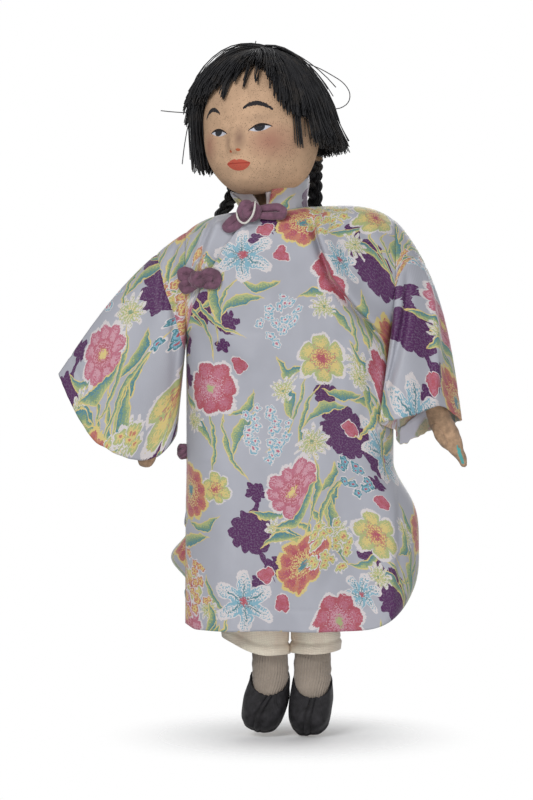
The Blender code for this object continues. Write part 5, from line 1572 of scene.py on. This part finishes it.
# The hair: black thread laid over a dark cap and glued down, cut to a ragged fringe, a longer lock at the
# right cheek and a bob behind that flares at the left. Each thread is a thin tube, and a few stray out.
HAIR_COLOUR = (0.012, 0.012, 0.014)
HAIR_WORN = (0.06, 0.05, 0.042)
STRAND = 0.42
# Where the cap ends round the head: degrees round from the face, and degrees down from the crown
CAP_EDGE = ((-180.0, 112.0), (-105.0, 112.0), (-70.0, 84.0), (-50.0, 60.0), (-30.0, 50.0), (-8.0, 44.0),
            (10.0, 37.0), (28.0, 29.0), (40.0, 36.0), (48.0, 54.0), (56.0, 70.0), (72.0, 80.0), (88.0, 104.0),
            (120.0, 112.0), (180.0, 112.0))
CAP_LIFT = 0.35
CAP_CLOTH = 0.5
# Where the fringe is cut, in the same way
FRINGE_EDGE = ((-110.0, 80.0), (-60.0, 77.0), (-38.0, 68.0), (-22.0, 60.0), (-8.0, 56.0), (10.0, 48.0),
               (28.0, 39.0), (40.0, 46.0), (48.0, 66.0), (53.0, 82.0), (60.0, 88.0), (72.0, 88.0),
               (92.0, 96.0))
# Tufts on the forehead and a lock over the ear: degrees round, spread, where it ends and how many threads
TUFTS = ((-4.0, 3.0, 70.0, 60), (18.0, 1.4, 64.0, 12), (31.0, 1.6, 63.0, 9), (8.0, 2.0, 58.0, 16),
         (64.0, 6.0, 123.0, 14))
TUFT_PITCH = 9.0
# How many threads there are in each part
FRINGE_THREADS = 1500
TEMPLE_THREADS = 560
CHEEK_THREADS = 420
BOB_THREADS = 1900
STRAYS = 14
# Where the cheek's lock and the bob are cut, in degrees down from the crown
CHEEK_END = 121.0
BOB_END = 115.0
# Threads that have come loose, as their x, y and z
LOOSE = (((3.0, 3.0, 162.0), (11.6, 4.0, 159.0), (17.4, 4.0, 156.0), (23.2, 4.0, 152.2), (26.1, 4.0, 147.7),
          (25.3, 4.0, 143.4), (21.0, 4.0, 140.9), (14.0, 4.0, 141.4)),
         ((-36.0, -4.0, 140.0), (-44.0, -4.0, 138.3), (-50.0, -4.0, 138.4), (-56.0, -4.0, 139.0)),
         ((-39.0, -6.0, 142.0), (-43.4, -7.0, 134.0), (-45.4, -7.0, 125.0), (-46.6, -7.0, 115.5)),
         ((-16.0, 1.0, 164.0), (-15.4, 1.0, 167.4), (-14.8, 1.0, 170.0)))


def edge_at(table, azimuth):
    """Where an edge of the hair is at an angle round the head."""
    for (low, first), (high, second) in zip(table, table[1:]):
        if azimuth <= high:
            return first + (second - first) * max(0.0, (azimuth - low) / (high - low))
    return table[-1][1]


def hair_point(azimuth, polar, lift):
    """A place over the skull, and straight down below its widest level; angles in degrees."""
    bend = radians(min(polar, 90.0))
    x = (HEAD_HALF_WIDTH + lift) * sin(bend) * sin(radians(azimuth))
    y = -(HEAD_HALF_DEPTH + lift) * sin(bend) * cos(radians(azimuth))
    z = (HEAD_UP + lift) * cos(bend) - max(0.0, radians(polar - 90.0)) * HEAD_DOWN * 0.8
    return HEAD_PLACE @ Vector((x, y, z))


def strand(azimuth, end, lift, flare, sway, draw, steps=9, parting=True):
    """One thread from the parting, or from the crown, to its cut end, with a little wander of its own."""
    root = (draw.uniform(58.0, 96.0), draw.uniform(5.0, 16.0)) if parting else (azimuth, 3.0)
    ways = []
    for turn, fall in (root, (azimuth, min(end, 90.0))):
        turn, fall = radians(turn), radians(fall)
        ways.append(Vector((sin(fall) * sin(turn), -sin(fall) * cos(turn), cos(fall))))
    first, last = ways
    arc, hang = first.angle(last), radians(max(0.0, end - 90.0))
    wander = draw.uniform(-1.0, 1.0)
    points = []
    for step in range(steps + 1):
        share = step / steps
        gone = share * (arc + hang)
        way = first.slerp(last, min(gone / arc, 1.0))
        polar = degrees(acos(min(max(way.z, -1.0), 1.0))) + degrees(max(0.0, gone - arc))
        turn = degrees(atan2(way.x, -way.y)) + sway * share ** 2
        turn += wander * 3.0 * share * sin(3.0 * share + wander)
        rise = lift * (0.62 + 0.38 * sin(pi * min(share * 0.8, 0.5)))
        rise += flare * max(0.0, share - 0.45) ** 1.5
        points.append(hair_point(turn, polar, rise + 0.3))
    return points


def thread_bundle(name, strands, thick, look):
    """Lay many threads as thin tubes in one piece."""
    curve = bpy.data.curves.new(name, "CURVE")
    curve.dimensions = "3D"
    curve.bevel_depth = thick / 2.0 * MM
    curve.bevel_resolution = 0
    curve.use_fill_caps = True
    for points in strands:
        spline = curve.splines.new("POLY")
        spline.points.add(len(points) - 1)
        for knot, point in zip(spline.points, points):
            knot.co = (*(point * MM), 1.0)
    drawn = bpy.data.objects.new(name, curve)
    mesh = bpy.data.meshes.new_from_object(drawn)
    bpy.data.objects.remove(drawn)
    mesh.materials.clear()
    mesh.materials.append(look)
    piece = bpy.data.objects.new(name, mesh)
    scene.collection.objects.link(piece)
    return piece


black_thread, tree, sockets = finish("black_thread", HAIR_COLOUR, 0.45, 0.0, 0.22)
place = add_node(tree, "TexCoord")["Object"]
fade = add_node(tree, "TexNoise", place, None, 120.0, 5.0, 0.75)["Fac"]
worn = add_node(tree, "MapRange", fade, 0.5, 0.8)[0]
black = add_node(tree, "MixRGB", worn, (*HAIR_COLOUR, 1.0), (*HAIR_WORN, 1.0))[0]
tree.links.new(black, sockets["Base Color"])

draw = random.Random(11)
fringe, side_right, side_left, bob = [], [], [], []
for _ in range(FRINGE_THREADS):
    azimuth = draw.uniform(-110.0, 46.0)
    tuft = TUFT_PITCH * round(azimuth / TUFT_PITCH)
    end = edge_at(FRINGE_EDGE, azimuth) + draw.uniform(-9.0, 4.0)
    full = ease((-20.0 - azimuth) / 30.0)
    fringe.append(strand(azimuth, end, draw.uniform(0.4, 3.2 + 2.6 * full),
                         draw.uniform(0.0, 3.0 + 6.0 * full),
                         (tuft - azimuth) * 0.6 + draw.gauss(0.0, 2.0), draw))
for azimuth, spread_by, end, threads in TUFTS:
    for _ in range(threads):
        turn = draw.gauss(azimuth, spread_by * 0.5)
        group = fringe if end < 90.0 else side_left
        group.append(strand(turn, end + draw.uniform(-5.0, 2.5), draw.uniform(0.3, 2.6),
                            draw.uniform(0.0, 2.0), (azimuth - turn) * 0.5, draw))
for _ in range(TEMPLE_THREADS):
    azimuth = draw.uniform(44.0, 92.0)
    end = edge_at(FRINGE_EDGE, azimuth) + draw.uniform(-9.0, 5.0)
    side_left.append(strand(azimuth, end, draw.uniform(0.4, 4.4), draw.uniform(0.0, 3.0),
                            draw.gauss(0.0, 3.0), draw))
for _ in range(CHEEK_THREADS):
    azimuth = draw.uniform(-104.0, -50.0)
    end = CHEEK_END + draw.uniform(-14.0, 9.0)
    side_right.append(strand(azimuth, end, draw.uniform(0.6, 6.0), draw.uniform(-4.0, 3.0),
                             draw.gauss(0.0, 4.0), draw, 11))
for _ in range(BOB_THREADS):
    azimuth = draw.uniform(76.0, 258.0)
    end = BOB_END + 5.0 * sin(radians(azimuth)) + draw.uniform(-8.0, 5.0)
    flare = draw.uniform(2.0, 17.0) if azimuth < 140.0 else draw.uniform(0.0, 5.0)
    bob.append(strand(azimuth, end, draw.uniform(0.4, 4.6), flare, draw.gauss(0.0, 4.0), draw, 10,
                      azimuth < 150.0))
for _ in range(STRAYS):
    for group, low, high, ends, lifts, flares in (
        (bob, 84.0, 130.0, (70.0, 112.0), (4.0, 7.0), (-6.0, 16.0)),
        (fringe, -100.0, -40.0, (50.0, 84.0), (5.0, 7.5), (-4.0, 8.0)),
    ):
        azimuth = draw.uniform(low, high)
        group.append(strand(azimuth, draw.uniform(*ends), draw.uniform(*lifts), draw.uniform(*flares),
                            draw.gauss(0.0, 9.0), draw))
for path in LOOSE:
    bob.append([glide(path, step / 24.0) for step in range(25)])


def cap_point(around, down):
    azimuth = 360.0 * around - 180.0
    return hair_point(azimuth, max(0.5, edge_at(CAP_EDGE, azimuth) * down), CAP_LIFT)


cap = sew_up("hair_cap", lay_cloth(cap_point, 120, 48, joined=True), black_thread)
set_thickness(cap, CAP_CLOTH)
fix_on(cap, "head", "black_thread", "hair_crown")
for name, strands, node in (
    ("fringe_threads", fringe, "hair_fringe"), ("cheek_threads", side_right, "hair_side_right"),
    ("temple_threads", side_left, "hair_side_left"), ("bob_threads", bob, "hair_back"),
):
    fix_on(thread_bundle(name, strands, STRAND, black_thread), "head", "black_thread", node)

# The braids: two thin plaits of the same thread, rooted under the bob, bound at the top with tan cord.
# They hang behind the shoulders, so their tops follow the head and their ends rest on the gown.
TIE_COLOUR = (0.24, 0.15, 0.085)
BRAIDS = {"right": ((-23.5, 18.5, 117.0), (-23.5, 19.2, 111.5), (-26.0, 23.7, 103.5), (-31.0, 28.5, 94.5),
                    (-33.6, 30.7, 80.5), (-33.6, 31.0, 66.5), (-33.6, 31.0, 54.5)),
          "left": ((11.2, 13.2, 123.5), (11.2, 13.9, 118.0), (11.2, 21.9, 109.5), (11.6, 26.1, 98.0),
                   (12.6, 31.0, 86.0), (12.9, 32.0, 70.0), (12.9, 32.0, 58.0))}
PLAITS = 4.6
PLAIT_SWING = (1.9, 1.1)
BRAID_STEPS = 110
BUNDLE_RING = 8
BUNDLE_RADIUS = 1.25
BRAID_THREAD = 1.0
TIE_WRAPS = 40
TIE_HALF = (2.9, 2.4)
TIE_CORD = 0.6
# Where the braids bend from the head to the torso, in metres
BRAID_BEND = {"start": (0.0, 0.0, 0.116), "end": (0.0, 0.0, 0.098)}


def braid_strands(path):
    """Three strands that cross in turn, each a ring of threads round one in its middle."""
    for which in range(3):
        for thread in range(BUNDLE_RING + 1):
            points = []
            for step in range(BRAID_STEPS + 1):
                share = step / BRAID_STEPS
                phase = 2.0 * pi * (PLAITS * share + which / 3.0)
                narrow = 1.0 - 0.45 * share ** 6
                swing = Vector((PLAIT_SWING[0] * sin(phase), PLAIT_SWING[1] * sin(2.0 * phase), 0.0))
                middle = glide(path, share) + swing * narrow
                spot = 2.0 * pi * thread / BUNDLE_RING + 4.0 * share
                reach = BUNDLE_RADIUS * narrow if thread < BUNDLE_RING else 0.0
                points.append(middle + Vector((reach * cos(spot), reach * sin(spot), 0.0)))
            yield points


tan_cord, tree, sockets, place, _ = mottled("tie_cord", TIE_COLOUR, 0.85, 0.2, 0.3, 500.0, 0.4)
ply = add_node(tree, "TexWave", place, 380.0, 1.0, 1.0, bands_direction="DIAGONAL")["Fac"]
raise_grain(tree, sockets, ply, 0.6, 0.25)

for name, path in BRAIDS.items():
    braid = thread_bundle("plait_" + name, braid_strands(path), BRAID_THREAD, black_thread)
    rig.replaces(braid, "braid_" + name)
    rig.slot(braid, "black_thread")
    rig.blend(braid, "head", "torso", **BRAID_BEND)
    wraps = []
    for turn in range(TIE_WRAPS):
        angle = turn * 0.55
        middle = glide(path, 0.1 + 0.0012 * turn)
        wraps.append(middle + Vector((TIE_HALF[0] * cos(angle), TIE_HALF[1] * sin(angle), 0.0)))
    tie = sew_up("braid_binding_" + name, tube(wraps, TIE_CORD, 1.0, 10, 160), tan_cord)
    fix_on(tie, "head", "tie_cord", "braid_tie_" + name)

bpy.context.view_layer.update()
with open("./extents.json", "w") as sizes:
    json.dump({"cad": [list(corner) for corner in cad_box], "visual": [list(corner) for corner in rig.bounds()]}, sizes)
